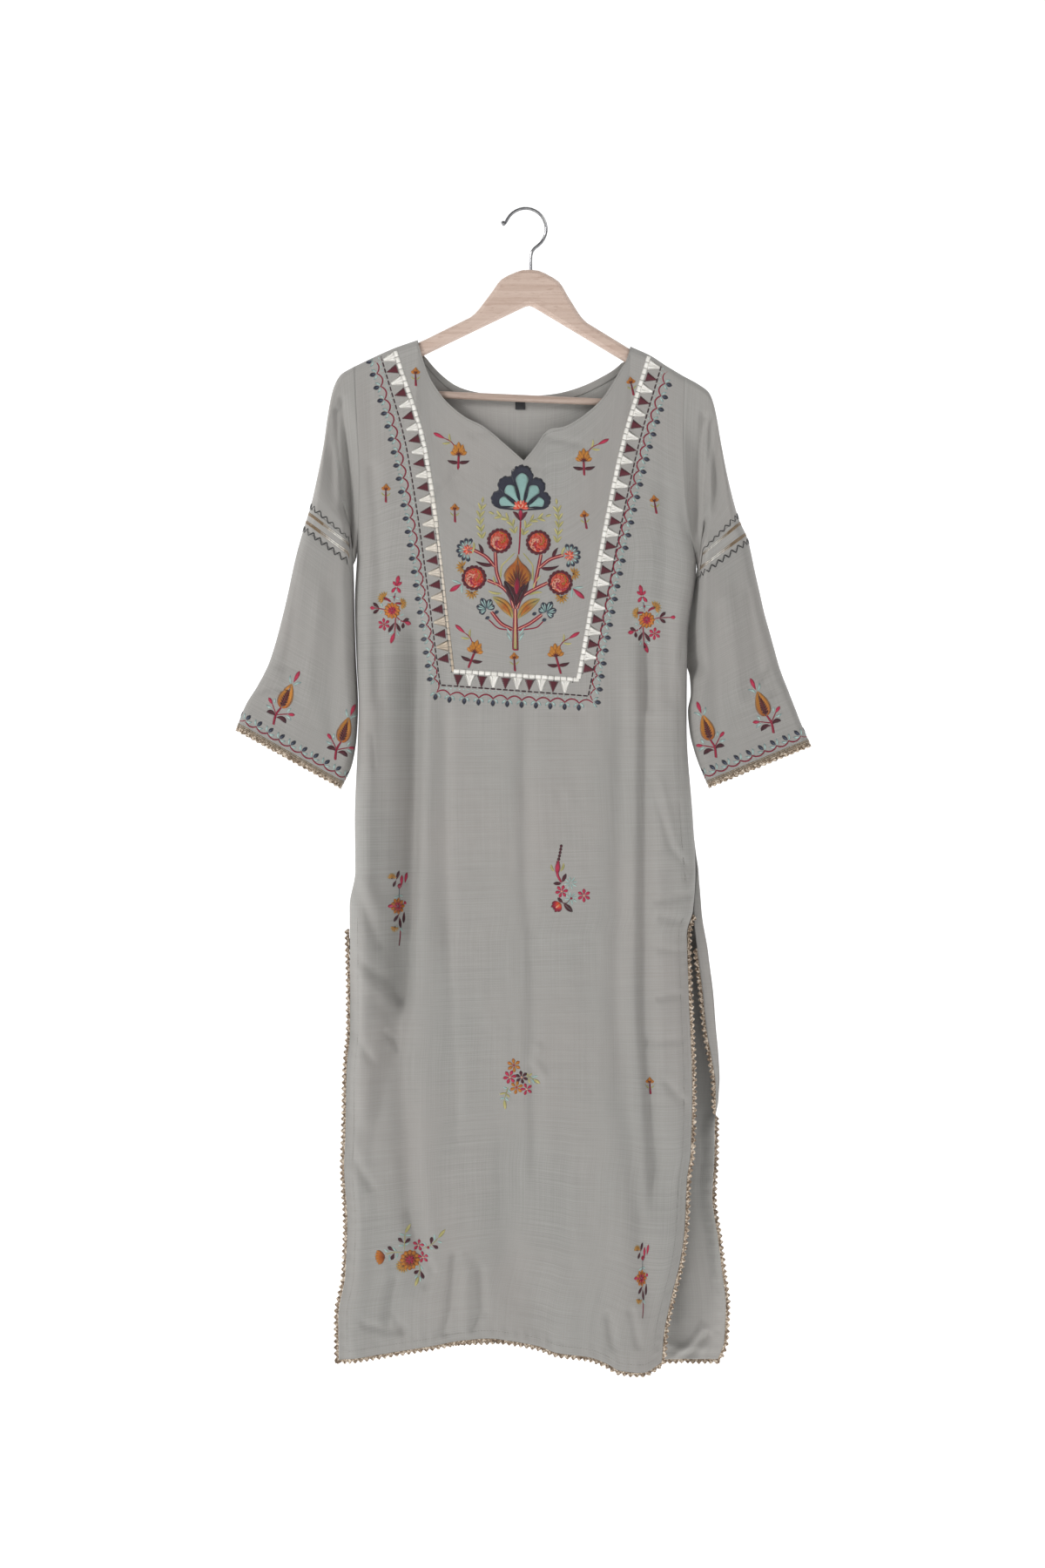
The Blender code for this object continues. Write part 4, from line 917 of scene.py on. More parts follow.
def wood_finish(name, level):
    """Pale lacquered beech: long grain, short flecks and a little wear."""
    f = Finish(name, 0.42, Coat_Weight=0.12, Coat_Roughness=0.3)
    place = f.place()
    grain = f.noise(place, (7.0, 60.0, 260.0), 4.0, 0.6)
    fleck = f.noise(place, (95.0, 900.0, 900.0), 1.0)
    dark, plain, pale, mark = toned(level, (0.45, 0.328, 0.266), (0.53, 0.405, 0.337),
                                    (0.57, 0.445, 0.377), (0.38, 0.262, 0.205))
    tone = f.ramp(grain, ((0.3, dark), (0.55, plain), (0.75, pale)))
    tone = f.blend(tone, mark, f.rise(fleck, 0.62, 0.70, 0.6))
    f.colour(tone)
    f.rough(0.34 + grain * 0.2)
    f.bump(grain + fleck * 0.4, 0.0001)
    return f.material


def steel_finish():
    """Drawn wire, darkened a little here and there."""
    f = Finish("polished wire", 0.24, 1.0)
    place = f.place()
    marks = f.noise(place, (300.0, 300.0, 60.0), 3.0)
    f.colour(f.ramp(marks, ((0.3, (0.15, 0.15, 0.16)), (0.7, (0.27, 0.27, 0.27)))))
    f.rough(0.16 + marks * 0.2)
    return f.material


def label_finish():
    """Black ribbed satin."""
    f = Finish("label satin", 0.55, Sheen_Weight=0.2)
    cut = f.cut()
    ribs = (f.part(cut, 1) * (2.0 * math.pi / 0.0007)).sine()
    tone = f.noise(cut, (2000.0, 300.0, 1.0))
    f.colour(f.blend((0.010, 0.010, 0.012), (0.030, 0.030, 0.034), tone))
    f.rough(0.48 + tone * 0.2)
    f.bump(ribs, 0.00008)
    return f.material


def thread_finish():
    """Rayon embroidery thread: strands side by side, each a little lighter or darker, with painted
    light on each strand's crown and painted shade between strands.
    """
    f = Finish("embroidery thread", 0.5, Sheen_Weight=0.25, Sheen_Roughness=0.35)
    tint = f.node("ShaderNodeAttribute", {"attribute_name": "tint"})
    stitch = f.cut("stitch")
    u = f.part(stitch, 0)
    # painted light and shade: each strand lighter along its crown, darker where it meets the next
    strand = (u * (math.pi / 0.42)).sine() ** 2.0
    tone = f.noise(stitch, (2.4, 0.12, 1.0), 1.0)
    fibre = f.noise(stitch, (9.0, 0.8, 1.0), 1.0)
    level = 0.66 + strand * 0.30 + tone * 0.36 - fibre * 0.10
    f.colour(f.shaded(tint, level))
    f.rough(0.40 + fibre * 0.25)
    f.bump(strand + fibre * 0.3, 0.00022)
    return f.material


def gota_finish():
    """Woven metal ribbon, pale and softly shining, dulled where it was handled."""
    f = Finish("metal ribbon", 0.34, 0.25)
    tint = f.node("ShaderNodeAttribute", {"attribute_name": "tint"})
    stitch = f.cut("stitch")
    # painted light and shade: raised threads of the weave and ribs lighter, the hollows between
    # them darker
    weave = (f.part(stitch, 0) * (math.pi / 0.6)).sine() ** 2.0
    ribs = (f.part(stitch, 1) * (math.pi / 0.9)).sine() ** 2.0
    dull = f.noise(stitch, (0.5, 0.5, 1.0), 3.0)
    level = 0.76 + weave * 0.12 + ribs * 0.12 + dull * 0.34
    f.colour(f.shaded(tint, level))
    f.rough(0.22 + dull * 0.35)
    f.bump(weave + ribs, 0.0002)
    return f.material


# ---- the room ------------------------------------------------------------------------
FLOOR_LEVEL, FLOOR_REACH = -1.66, 9
FLOOR_PAINT, FLOOR_GLOW = 0.93, 0.55
SURROUND = (0.30, 1.15)              # light of the surround in front and behind
SURROUND_SEEN = 1.25                 # and what the camera sees of it
# Name, place, size and power.
LAMPS = (("key", (-2.6, -1.8, 0.8), 0.8, 57.0), ("fill", (2.2, -2.3, 1.3), 1.6, 20.0))
LAMPS_AIM = (0.0, 0.0, -0.66)
CAMERA_PLACE, LENS = (-0.004, -4.0, -0.659), 80.0


def room():
    """A pale floor, a pale surround brighter behind, soft light from the front, and the camera."""
    scene = bpy.context.scene
    scene.view_settings.view_transform = "Standard"
    bm = bmesh.new()
    bm.faces.new([bm.verts.new((x * FLOOR_REACH, y * FLOOR_REACH, FLOOR_LEVEL))
                  for x, y in ((-1, -1), (1, -1), (1, 1), (-1, 1))])
    mesh = bpy.data.meshes.new("floor")
    bm.to_mesh(mesh)
    bm.free()
    floor = bpy.data.objects.new("floor", mesh)
    scene.collection.objects.link(floor)
    paper = Finish("white floor", 0.95)
    paper.colour((*(FLOOR_PAINT,) * 3, 1.0))
    paper.put(paper.shader.inputs["Emission Color"], (1.0, 1.0, 1.0, 1.0))
    paper.put(paper.shader.inputs["Emission Strength"], FLOOR_GLOW)
    mesh.materials.append(paper.material)

    world = bpy.data.worlds.new("studio")
    world.use_nodes = True
    scene.world = world
    nodes, join = world.node_tree.nodes, world.node_tree.links.new
    way, split = nodes.new("ShaderNodeTexCoord"), nodes.new("ShaderNodeSeparateXYZ")
    level, seen, path = [nodes.new(kind) for kind in ("ShaderNodeMapRange", "ShaderNodeMix",
                                                      "ShaderNodeLightPath")]
    join(way.outputs["Generated"], split.inputs[0])
    join(split.outputs["Y"], level.inputs["Value"])
    for name, value in zip(("From Min", "From Max", "To Min", "To Max"), (-0.05, 0.05, *SURROUND)):
        level.inputs[name].default_value = value
    join(path.outputs["Is Camera Ray"], seen.inputs[0])
    join(level.outputs[0], seen.inputs[2])
    seen.inputs[3].default_value = SURROUND_SEEN
    nodes["Background"].inputs[0].default_value = (1.0, 1.0, 1.0, 1.0)
    join(seen.outputs[0], nodes["Background"].inputs[1])
    for name, place, size, power in LAMPS:
        light = bpy.data.lights.new(name, "AREA")
        light.size, light.energy = size, power
        lamp = bpy.data.objects.new(name, light)
        lamp.location = place
        aim = Vector(LAMPS_AIM) - Vector(place)
        lamp.rotation_euler = aim.to_track_quat("-Z", "Y").to_euler()
        scene.collection.objects.link(lamp)

    view = bpy.data.cameras.new("camera")
    view.sensor_width = 36.0
    view.lens = LENS
    camera = bpy.data.objects.new("camera", view)
    camera.location = CAMERA_PLACE
    camera.rotation_euler = (math.pi / 2, 0.0, 0.0)
    scene.collection.objects.link(camera)
    scene.camera = camera


# ---- embroidery ----------------------------------------------------------------------
def dyed(r, g, b):
    """A thread's colour from 0 to 255 values."""
    return np.array([((c / 255 + 0.055) / 1.055) ** 2.4 for c in (r, g, b)])


MAROON, PLUM = dyed(92, 20, 36), dyed(54, 16, 28)
CRIMSON, ROSE, RED = dyed(158, 14, 54), dyed(204, 46, 84), dyed(196, 38, 38)
CORAL, PEACH, FLAME = dyed(242, 106, 86), dyed(252, 178, 150), dyed(236, 74, 44)
GOLD_SILK, AMBER, BROWN = dyed(204, 132, 44), dyed(178, 92, 24), dyed(108, 42, 20)
OLIVE, OLIVE_DARK, STRAW = dyed(178, 174, 108), dyed(128, 126, 68), dyed(212, 200, 136)
AQUA, AQUA_PALE, TEAL = dyed(150, 190, 184), dyed(188, 214, 208), dyed(84, 126, 130)
NAVY, SLATE = dyed(40, 42, 58), dyed(72, 80, 98)
CREAM, BEIGE, SILVER = dyed(226, 216, 202), dyed(196, 178, 156), dyed(246, 243, 236)
INK, BRONZE = dyed(38, 36, 38), dyed(150, 124, 92)
# What a leaf or petal takes from its foot to its tip.
ROSY, DARK, RUST = (CRIMSON, ROSE, CRIMSON), (MAROON, PLUM), (MAROON, BROWN)
GREEN, GOLDEN, RIMMED = (OLIVE, STRAW), (AMBER, GOLD_SILK), (BROWN, GOLD_SILK, AMBER)
PALE, COOL, DUSK = (AQUA, AQUA_PALE), (AQUA, AQUA_PALE, TEAL), (SLATE, NAVY)


def curve(points, step=1.5):
    """Flat points along a smooth curve through the given ones, about `step` mm apart."""
    p = np.asarray(points, float)
    s = lengths(p)
    at = np.linspace(0.0, s[-1], max(4, round(s[-1] / step) + 1))
    if len(p) == 2:
        return mix(p[0], p[1], (at / s[-1])[:, None])
    return np.stack([line(list(zip(s, p[:, i])))(at) for i in (0, 1)], axis=1)


def sideways(p):
    """The left-hand direction at each point of a flat line."""
    way = unit(np.gradient(p, axis=0))
    return np.stack([-way[:, 1], way[:, 0]], axis=1)


def by_turns(n):
    """-1 and 1 by turns."""
    return np.where(np.arange(n) % 2, 1.0, -1.0)


class Trail:
    """A flat line read by its length in mm."""

    def __init__(self, points):
        self.p = curve(points, 1.0)
        self.s = lengths(self.p)
        self.length = self.s[-1]

    def at(self, s):
        """Points, the way along and the left-hand way at lengths s."""
        s = np.atleast_1d(s)
        p, ahead, behind = [read_off(s + step, self.s, self.p) for step in (0.0, 1.0, -1.0)]
        way = unit(ahead - behind)
        return p, way, np.stack([-way[:, 1], way[:, 0]], axis=1)


class Face:
    """The front of hung pieces as a ground for thread, read by (x, z) in mm."""
    hand = 1.0

    def __init__(self, *pieces):
        deps = bpy.context.evaluated_depsgraph_get()
        verts, faces = [], []
        for piece in pieces:
            mesh = piece.evaluated_get(deps).to_mesh()
            co = np.empty(len(mesh.vertices) * 3)
            mesh.vertices.foreach_get("co", co)
            faces += [[i + len(verts) for i in f.vertices] for f in mesh.polygons]
            verts += co.reshape(-1, 3).tolist()
        self.tree = BVHTree.FromPolygons(verts, faces)

    def seat(self, flat):
        points, normals = np.empty((len(flat), 3)), np.empty((len(flat), 3))
        ahead = Vector((0.0, 1.0, 0.0))
        for i, (x, z) in enumerate(flat * MM):
            hit, normal, _face, _far = self.tree.ray_cast(Vector((x, -0.3, z)), ahead)
            if hit is None:
                hit, normal, _face, _far = self.tree.find_nearest(Vector((x, -0.02, z)))
            points[i] = hit
            normals[i] = normal if normal.y < 0.0 else -normal
        normals[:, 1] -= 0.6
        return points / MM, unit(normals)


RING_STEPS = 240           # points round a sleeve's skin


class Ring:
    """A sleeve's skin as a ground for thread, read by (mm round, mm up from the lower end)."""

    def __init__(self, sleeve, low, high):
        downs = np.linspace(low, high, max(4, int((high - low) / 1.5)))
        self.span, self.end, self.hand = (low, high), high, -sleeve.outward
        grid = []
        for ring in sleeve.points(downs):
            ring = np.concatenate([ring, ring[:1]])
            s = lengths(ring)
            grid.append(read_off(np.linspace(0.0, s[-1], RING_STEPS + 1), s, ring))
        self.grid = np.array(grid)
        self.round = s[-1]
        around, along = np.gradient(self.grid, axis=1), np.gradient(self.grid, axis=0)
        normals = unit(np.cross(around, along))
        centre = self.grid.mean(axis=1, keepdims=True)
        if ((self.grid - centre) * normals).sum() < 0.0:
            normals = -normals
        self.normals = normals

    def seat(self, flat):
        a = (flat[:, 0] / self.round) % 1.0 * RING_STEPS
        b = (self.end - flat[:, 1] - self.span[0]) / (self.span[1] - self.span[0])
        b = np.clip(b, 0.0, 1.0) * (len(self.grid) - 1)
        i = np.minimum(a.astype(int), RING_STEPS - 1)
        j = np.minimum(b.astype(int), len(self.grid) - 2)
        s, t = (a - i)[:, None], (b - j)[:, None]
        read = lambda g: mix(mix(g[j, i], g[j, i + 1], s), mix(g[j + 1, i], g[j + 1, i + 1], s), t)
        normals = unit(read(self.normals))
        return read(self.grid) + normals * WALL / 2, normals


class Stitching:
    """Patches of thread drawn flat in mm, then seated on a ground as one piece."""

    def __init__(self, ground, seed):
        self.ground = ground
        self.random = np.random.default_rng(seed)
        self.flat, self.high, self.tints, self.stitch = [], [], [], []
        self.faces = []
        self.count = 0
        self.place()

    def place(self, x=0.0, z=0.0, turned=0.0, mirror=1.0, size=1.0):
        """Sets the origin, the turn in degrees and the side of the patches that follow."""
        c, s = math.cos(math.radians(turned)), math.sin(math.radians(turned))
        self.origin = np.array([x, z])
        self.axes = size * np.array([[mirror * c, s], [-mirror * s, c]])

    def strip(self, left, right, tints, high=0.45, lanes=3, slant=0.0, on=0.0, blunt=False):
        """A padded patch between two edges, with its threads laid from one to the other."""
        left, right = self.origin + left @ self.axes, self.origin + right @ self.axes
        x, z = np.concatenate([left, right[::-1]]).T
        if (x * np.roll(z, -1) - np.roll(x, -1) * z).sum() * self.ground.hand < 0.0:
            left, right = right, left
        n = len(left)
        s, t = np.linspace(0.0, 1.0, n)[:, None], np.linspace(0.0, 1.0, lanes + 1)[None]
        flat = left[:, None] + (right - left)[:, None] * t[..., None]
        ends = 1.0 if blunt else np.clip(np.minimum(s, 1.0 - s) * 5.0, 0.0, 1.0) ** 0.5
        dome = (1.0 - (2.0 * t - 1.0) ** 2) ** 0.5
        lift = on - 0.05 + (high + 0.05) * dome * ends
        tints = np.atleast_2d(tints)
        spots = np.linspace(0.0, 1.0, len(tints))
        along = read_off(s[:, 0], spots, tints)
        tone = self.random.uniform(0.92, 1.08)
        # painted shade: colour darkens to two thirds towards the patch's long sides, where the
        # padded thread curves down into the cloth
        shade = (0.66 + 0.34 * dome[0] ** 0.7)[None, :, None]
        run = lengths((left + right) / 2)
        width = np.linalg.norm(right - left, axis=1)[:, None] * t
        self.flat.append(flat.reshape(-1, 2))
        self.high.append(np.broadcast_to(lift, (n, lanes + 1)).ravel())
        self.tints.append((along[:, None] * shade * tone).reshape(-1, 3))
        self.stitch.append(np.stack([run[:, None] + slant * width, width], axis=-1).reshape(-1, 2))
        first, wide = self.count, lanes + 1
        at = lambda i, k: first + i * wide + k
        for i in range(n - 1):
            self.faces += [(at(i, k), at(i + 1, k), at(i + 1, k + 1), at(i, k + 1))
                           for k in range(lanes)]
            self.faces.append((at(i, 0), at(i, lanes), at(i + 1, lanes), at(i + 1, 0)))
        self.faces.append(tuple(at(0, k) for k in range(wide)))
        self.faces.append(tuple(at(n - 1, k) for k in range(lanes, -1, -1)))
        self.count += n * wide

    def stem(self, points, width, tints, step=1.5, **more):
        """A rounded cord of thread along a curve; width is one number or (start, end)."""
        p = curve(points, step)
        half = np.linspace(*(width if np.ndim(width) else (width, width)), len(p))[:, None] / 2
        side = sideways(p)
        self.strip(p + side * half, p - side * half, tints, slant=0.6, **more)

    def leaf(self, base, tip, width, tints, bend=0.0, full=0.5, jag=0.0, vein=False, **more):
        """A leaf or petal, widest at `full` of its length, of one patch or one beside a vein."""
        base, tip = np.asarray(base, float), np.asarray(tip, float)
        length = np.linalg.norm(tip - base)
        n = max(5, round(length / (0.9 if jag else 1.8)) + 1)
        s = np.linspace(0.0, 1.0, n)
        across = np.array([base[1] - tip[1], tip[0] - base[0]]) * bend * 4
        axis = base + np.outer(s, tip - base) + np.outer(s * (1.0 - s), across)
        half = width / 2 * np.sin(np.pi * s ** (math.log(0.5) / math.log(full))) ** 0.75 + 0.08
        half = half + jag * by_turns(n) * np.sin(np.pi * s)
        side = sideways(axis) * half[:, None]
        if vein:
            self.strip(axis + side, axis - side * 0.02, tints, slant=0.8, **more)
            self.strip(axis - side * 0.02, axis - side, tints, slant=-0.8, **more)
        else:
            self.strip(axis + side, axis - side, tints, **more)

    def leaves(self, rows, width, tints, **more):
        """Leaves from rows of the base's x and z and the tip's x and z."""
        for row in rows:
            self.leaf(row[:2], row[2:], width, tints, **more)

    def fan(self, at, reach, angles, width, tints, inner=0.1, **more):
        """Petals round a point, at angles in degrees from level."""
        for angle in angles:
            way = np.array([math.cos(math.radians(angle)), math.sin(math.radians(angle))])
            self.leaf(np.asarray(at) + way * reach * inner, np.asarray(at) + way * reach, width,
                      tints, **{"full": 0.62, **more})

    def knot(self, at, radius, tint, on=0.3):
        x, z = at
        self.leaf((x - radius, z), (x + radius, z), radius * 2, tint, high=0.5, on=on)

    def flower(self, x, z, reach, count, tints, eye, start):
        angles = [start + 360.0 * k / count for k in range(count)]
        self.fan((x, z), reach, angles, reach * 0.5, tints, high=0.7)
        self.knot((x, z), reach * 0.15, eye)

    def thistle(self, x, z, reach, heading, spread=62.0):
        """A tuft of pointed strokes out of one foot."""
        for count, share, wider, on in ((8, 1.0, 1.3, 0.0), (5, 0.66, 1.0, 0.3)):
            angles = np.linspace(-spread, spread, count) * wider + heading
            self.fan((x, z), reach * share, angles, reach * 0.26, (OLIVE_DARK, GOLD_SILK, OLIVE),
                     on=on, high=0.5, full=0.5)
        self.knot((x, z), reach * 0.15, BROWN)

    def bloom(self, x, z):
        """A round flower: a scalloped rim filled with short strokes laid every way."""
        reach = 14.6
        angles = np.linspace(0.0, 2.0 * math.pi, 97)
        ways = np.stack([np.cos(angles), np.sin(angles)], axis=1)
        rim = reach - 1.2 + 1.4 * np.abs(np.sin(angles * 8.0)) ** 0.6
        centre = np.array([x, z])
        self.strip(centre + ways * rim[:, None], centre + ways * reach * 0.72, MAROON, high=0.8,
                   blunt=True)
        rows = np.linspace(-1.0, 1.0, 12)
        half = np.sqrt(np.maximum(1.0 - rows ** 2, 0.004)) * reach * 0.8
        ends = [np.stack([x + side * half, z + rows * reach * 0.8], axis=1) for side in (-1, 1)]
        self.strip(*ends, FLAME * 0.9, high=0.3, blunt=True, lanes=8)
        dyes = (CORAL, PEACH, FLAME, CORAL, ROSE, GOLD_SILK, PEACH, CORAL)
        for k in range(60):
            far = reach * 0.70 * math.sqrt((k + 0.5) / 60)
            angle = k * 2.39996 + self.random.uniform(-0.2, 0.2)
            at = centre + far * np.array([math.cos(angle), math.sin(angle)])
            lay = angle + math.pi / 2 + self.random.uniform(-0.9, 0.9)
            half_way = 2.3 * np.array([math.cos(lay), math.sin(lay)])
            self.leaf(at - half_way, at + half_way, 1.9, dyes[k % 8], high=0.5,
                      on=0.35 + self.random.uniform(0.0, 0.3), lanes=2)

    def half_bloom(self, x, z, heading):
        """A side flower: a coral tuft inside navy petals with pale hearts."""
        angles = np.linspace(-100.0, 100.0, 8) + heading
        self.fan((x, z), 14.0, angles, 5.4, DUSK, inner=0.42, high=0.6)
        self.fan((x, z), 11.0, angles, 2.2, (AQUA_PALE, AQUA), inner=0.5, on=0.5, high=0.3)
        for share, on in ((1.0, 0.5), (0.65, 0.8)):
            rays = np.linspace(-150.0, 150.0, 9) * share + heading
            for k, ray in enumerate(rays):
                self.fan((x, z), 6.4 * share, [ray], 2.1, (CORAL, PEACH, FLAME)[k % 3], on=on,
                         high=0.4)

    def tulip(self, x, z, heading):
        """A side flower: five navy petals with pale edges."""
        angles = (heading, heading - 46.0, heading + 46.0, heading - 88.0, heading + 88.0)
        for angle, reach in zip(angles[::-1], (10.0, 10.0, 13.0, 13.0, 15.0)):
            self.fan((x, z), reach, [angle], 8.0, DUSK, inner=0.05, high=0.6)
            for aside in (-9.0, 8.0):
                self.fan((x, z), reach * 0.84, [angle + aside], 1.7, PALE, inner=0.2,
                         on=0.5, high=0.3)

    def spray(self, points, pairs):
        """Pairs of narrow leaves up a thin stem, with one at its tip."""
        trail, length, width = Trail(points), 9.6, 3.2
        self.stem(points, 1.0, OLIVE, high=0.25)
        for k in range(pairs):
            (p,), (way,), (side,) = trail.at(trail.length * k / pairs)
            for hand in (1.0, -1.0):
                tip = p + length * unit(way * 0.85 + side * hand * 0.55)
                self.leaf(p + side * hand * 0.6, tip, width, GREEN, bend=-0.08 * hand, high=0.4)
        (p,), (way,), _side = trail.at(trail.length)
        self.leaf(p, p + way * length * 0.8, width, GREEN, high=0.4)

    def branch(self, points):
        """Two crimson lines with a pale one between."""
        width = 4.6
        self.stem(points, width, CRIMSON, high=0.55)
        self.stem(points, width * 0.24, PEACH, high=0.3, on=0.42)

    def bud(self, base, tip, width, tints=ROSY, **more):
        self.leaf(base, tip, width, tints, full=0.6, **{"high": 0.6, **more})

    def triangle(self, at, way, out, base, height, tints, jag=0.0, tip=0.06, **more):
        """A triangle on a base along `way`, as high as `height` the way `out`."""
        n = 15 if jag else 7
        s = np.linspace(0.0, 1.0, n)[:, None]
        half = base / 2 * (1.0 - (1.0 - tip) * s) + jag * by_turns(n)[:, None]
        p = at + out * height * s
        self.strip(p - way * half, p + way * half, tints, high=0.5, blunt=True, **more)

    def dashes(self, trail, pitch, dash, width, tints):
        """A row of padded dashes along a trail."""
        count = max(1, round(trail.length / pitch))
        for k in range(count):
            start = (k + 0.15) * trail.length / count
            p, _way, side = trail.at(start + np.array([0.0, 0.12, 0.88, 1.0]) * dash)
            half = width / 2 * np.array([[0.55], [1.0], [1.0], [0.55]])
            self.strip(p + side * half, p - side * half, tints, lanes=2, blunt=True)

    def vine(self, trail, hand, pitch, sag, bud=(5.4, 7.6), lean=0.0):
        """Scallops along a trail with a bud and two small leaves out of every cusp."""
        count = max(1, round(trail.length / pitch))
        pitch = trail.length / count
        arc = np.linspace(0.0, 1.0, 9)
        s = np.concatenate([(k + arc[:-1]) * pitch for k in range(count)] + [[count * pitch]])
        p, _way, side = trail.at(s)
        dip = sag * np.abs(np.sin(np.pi * s / pitch)) ** 0.8
        p = p - side * hand * dip[:, None]
        edge = sideways(p)
        self.strip(p + edge, p - edge, CRIMSON, high=0.5, lanes=2, slant=0.6)
        for k in range(count):
            (at,), (way,), (side,) = trail.at(k * pitch)
            out = unit(side * hand + way * math.tan(math.radians(lean)))
            turned = np.array([-out[1], out[0]])
            self.leaf(at + out, at + out * bud[1] * 1.2, bud[0], (SLATE, NAVY, NAVY),
                      full=0.52, high=0.6)
            self.leaf(at + out * 2.4, at + out * bud[1] * 0.8, 1.2, SLATE * 1.8, on=0.5,
                      high=0.2, lanes=2)
            for aside in (1.0, -1.0):
                tip = at + unit(out * 0.8 + turned * aside * 0.85) * bud[1] * 1.05
                self.leaf(at + turned * aside * 0.8, tip, 2.5, COOL,
                          bend=0.12 * aside, high=0.5)

    def finish(self, name, material):
        """Seats all the patches on the cloth and makes the piece."""
        points, normals = self.ground.seat(np.concatenate(self.flat))
        co = (points + normals * np.concatenate(self.high)[:, None]) * MM
        mesh = bpy.data.meshes.new(name)
        mesh.from_pydata(co.tolist(), [], self.faces)
        tint = mesh.color_attributes.new("tint", "FLOAT_COLOR", "POINT")
        rgba = np.ones((self.count, 4), np.float32)
        rgba[:, :3] = np.concatenate(self.tints)
        tint.data.foreach_set("color", rgba.ravel())
        uv = mesh.uv_layers.new(name="stitch")
        corners = np.empty(len(mesh.loops), np.int32)
        mesh.loops.foreach_get("vertex_index", corners)
        uv.data.foreach_set("uv", np.concatenate(self.stitch)[corners].astype(np.float32).ravel())
        mesh.shade_smooth()
        piece = add_piece(name, mesh, material)
        return piece


# ---- the motifs ----------------------------------------------------------------------
LOBES = ((-30.5, -333, 10), (-22, -317, 10.6), (-4.4, -306.4, 13), (12.2, -318.5, 10.4),
         (18.5, -334.2, 10.2), (-5.5, -330, 24))      # x, z and radius, the last the core
PETAL = ((0, 0.19), (0.3, 0.40), (0.6, 0.78), (0.78, 1), (0.86, 0.86), (0.93, 0.62), (1, 0.16))


def palmette(work):
    """A navy fan of scalloped lobes with pale petals over a coral tuft."""
    heart = np.array([-5.5, -343])
    angles = np.radians(np.linspace(184, -4, 150))
    ways = np.stack([np.cos(angles), np.sin(angles)], axis=1)
    reach = np.zeros(len(angles))
    for x, z, radius in LOBES:
        away = np.array([x, z]) - heart
        near = ways @ away
        room = radius ** 2 - away @ away + near ** 2
        reach = np.maximum(reach, np.where(room > 0, near + np.sqrt(np.maximum(room, 0)), 0))
    rim = Trail(heart + ways * reach[:, None])
    s = np.linspace(0, rim.length, 25 * 8 + 1)
    p, _way, side = rim.at(s)
    edge = p + side * (np.abs(np.sin(s * 25 * math.pi / rim.length)) ** 0.7 - 0.5)[:, None] * 1.1
    foot = mix(np.array([-12, -342]), np.array([1, -343]), (s / rim.length)[:, None])
    work.strip(edge, mix(edge, foot, 0.62), NAVY * 1.2, high=0.4, lanes=6, blunt=True)
    work.strip(mix(edge, foot, 0.5), foot, NAVY, high=0.2, lanes=4, blunt=True)
    for base, tip, width in (((-4.6, -336), (-4.2, -303.4), 15.6),
                             ((-8.6, -337.5), (-21.6, -318), 13.8),
                             ((0.2, -337.5), (12.4, -318.2), 13.8),
                             ((-12.5, -341.5), (-30, -334), 12.4),
                             ((3.6, -341.5), (20.4, -335.2), 12.4)):
        base, tip = np.array(base), np.array(tip)
        s = np.linspace(0, 1, 18)[:, None]
        half = line(PETAL, True)(s) * width / 2
        axis = base + s * (tip - base)
        side = unit(np.array([base[1] - tip[1], tip[0] - base[0]]))
        work.strip(axis + side * half, axis - side * half, AQUA, high=0.35, on=0.75, lanes=5)
    work.stem(((-37, -340), (-30, -343.4), (-5, -345.4), (19, -344.4), (26, -340.8)),
              2, NAVY, high=0.5, on=0.1)
    dyes = (CORAL, PEACH, FLAME, CORAL, PEACH, FLAME, CORAL, PEACH, CORAL)
    for k, angle in enumerate(np.linspace(8, 172, 9)):
        work.fan((-6, -344.8), 11 if 30 < angle < 150 else 9.4, [angle], 3.4, dyes[k],
                 on=0.7, high=0.5)
    for k, angle in enumerate(np.linspace(30, 150, 5)):
        work.fan((-6, -344.8), 6.4, [angle], 2.6, (FLAME, PEACH)[k % 2], on=1, high=0.4)


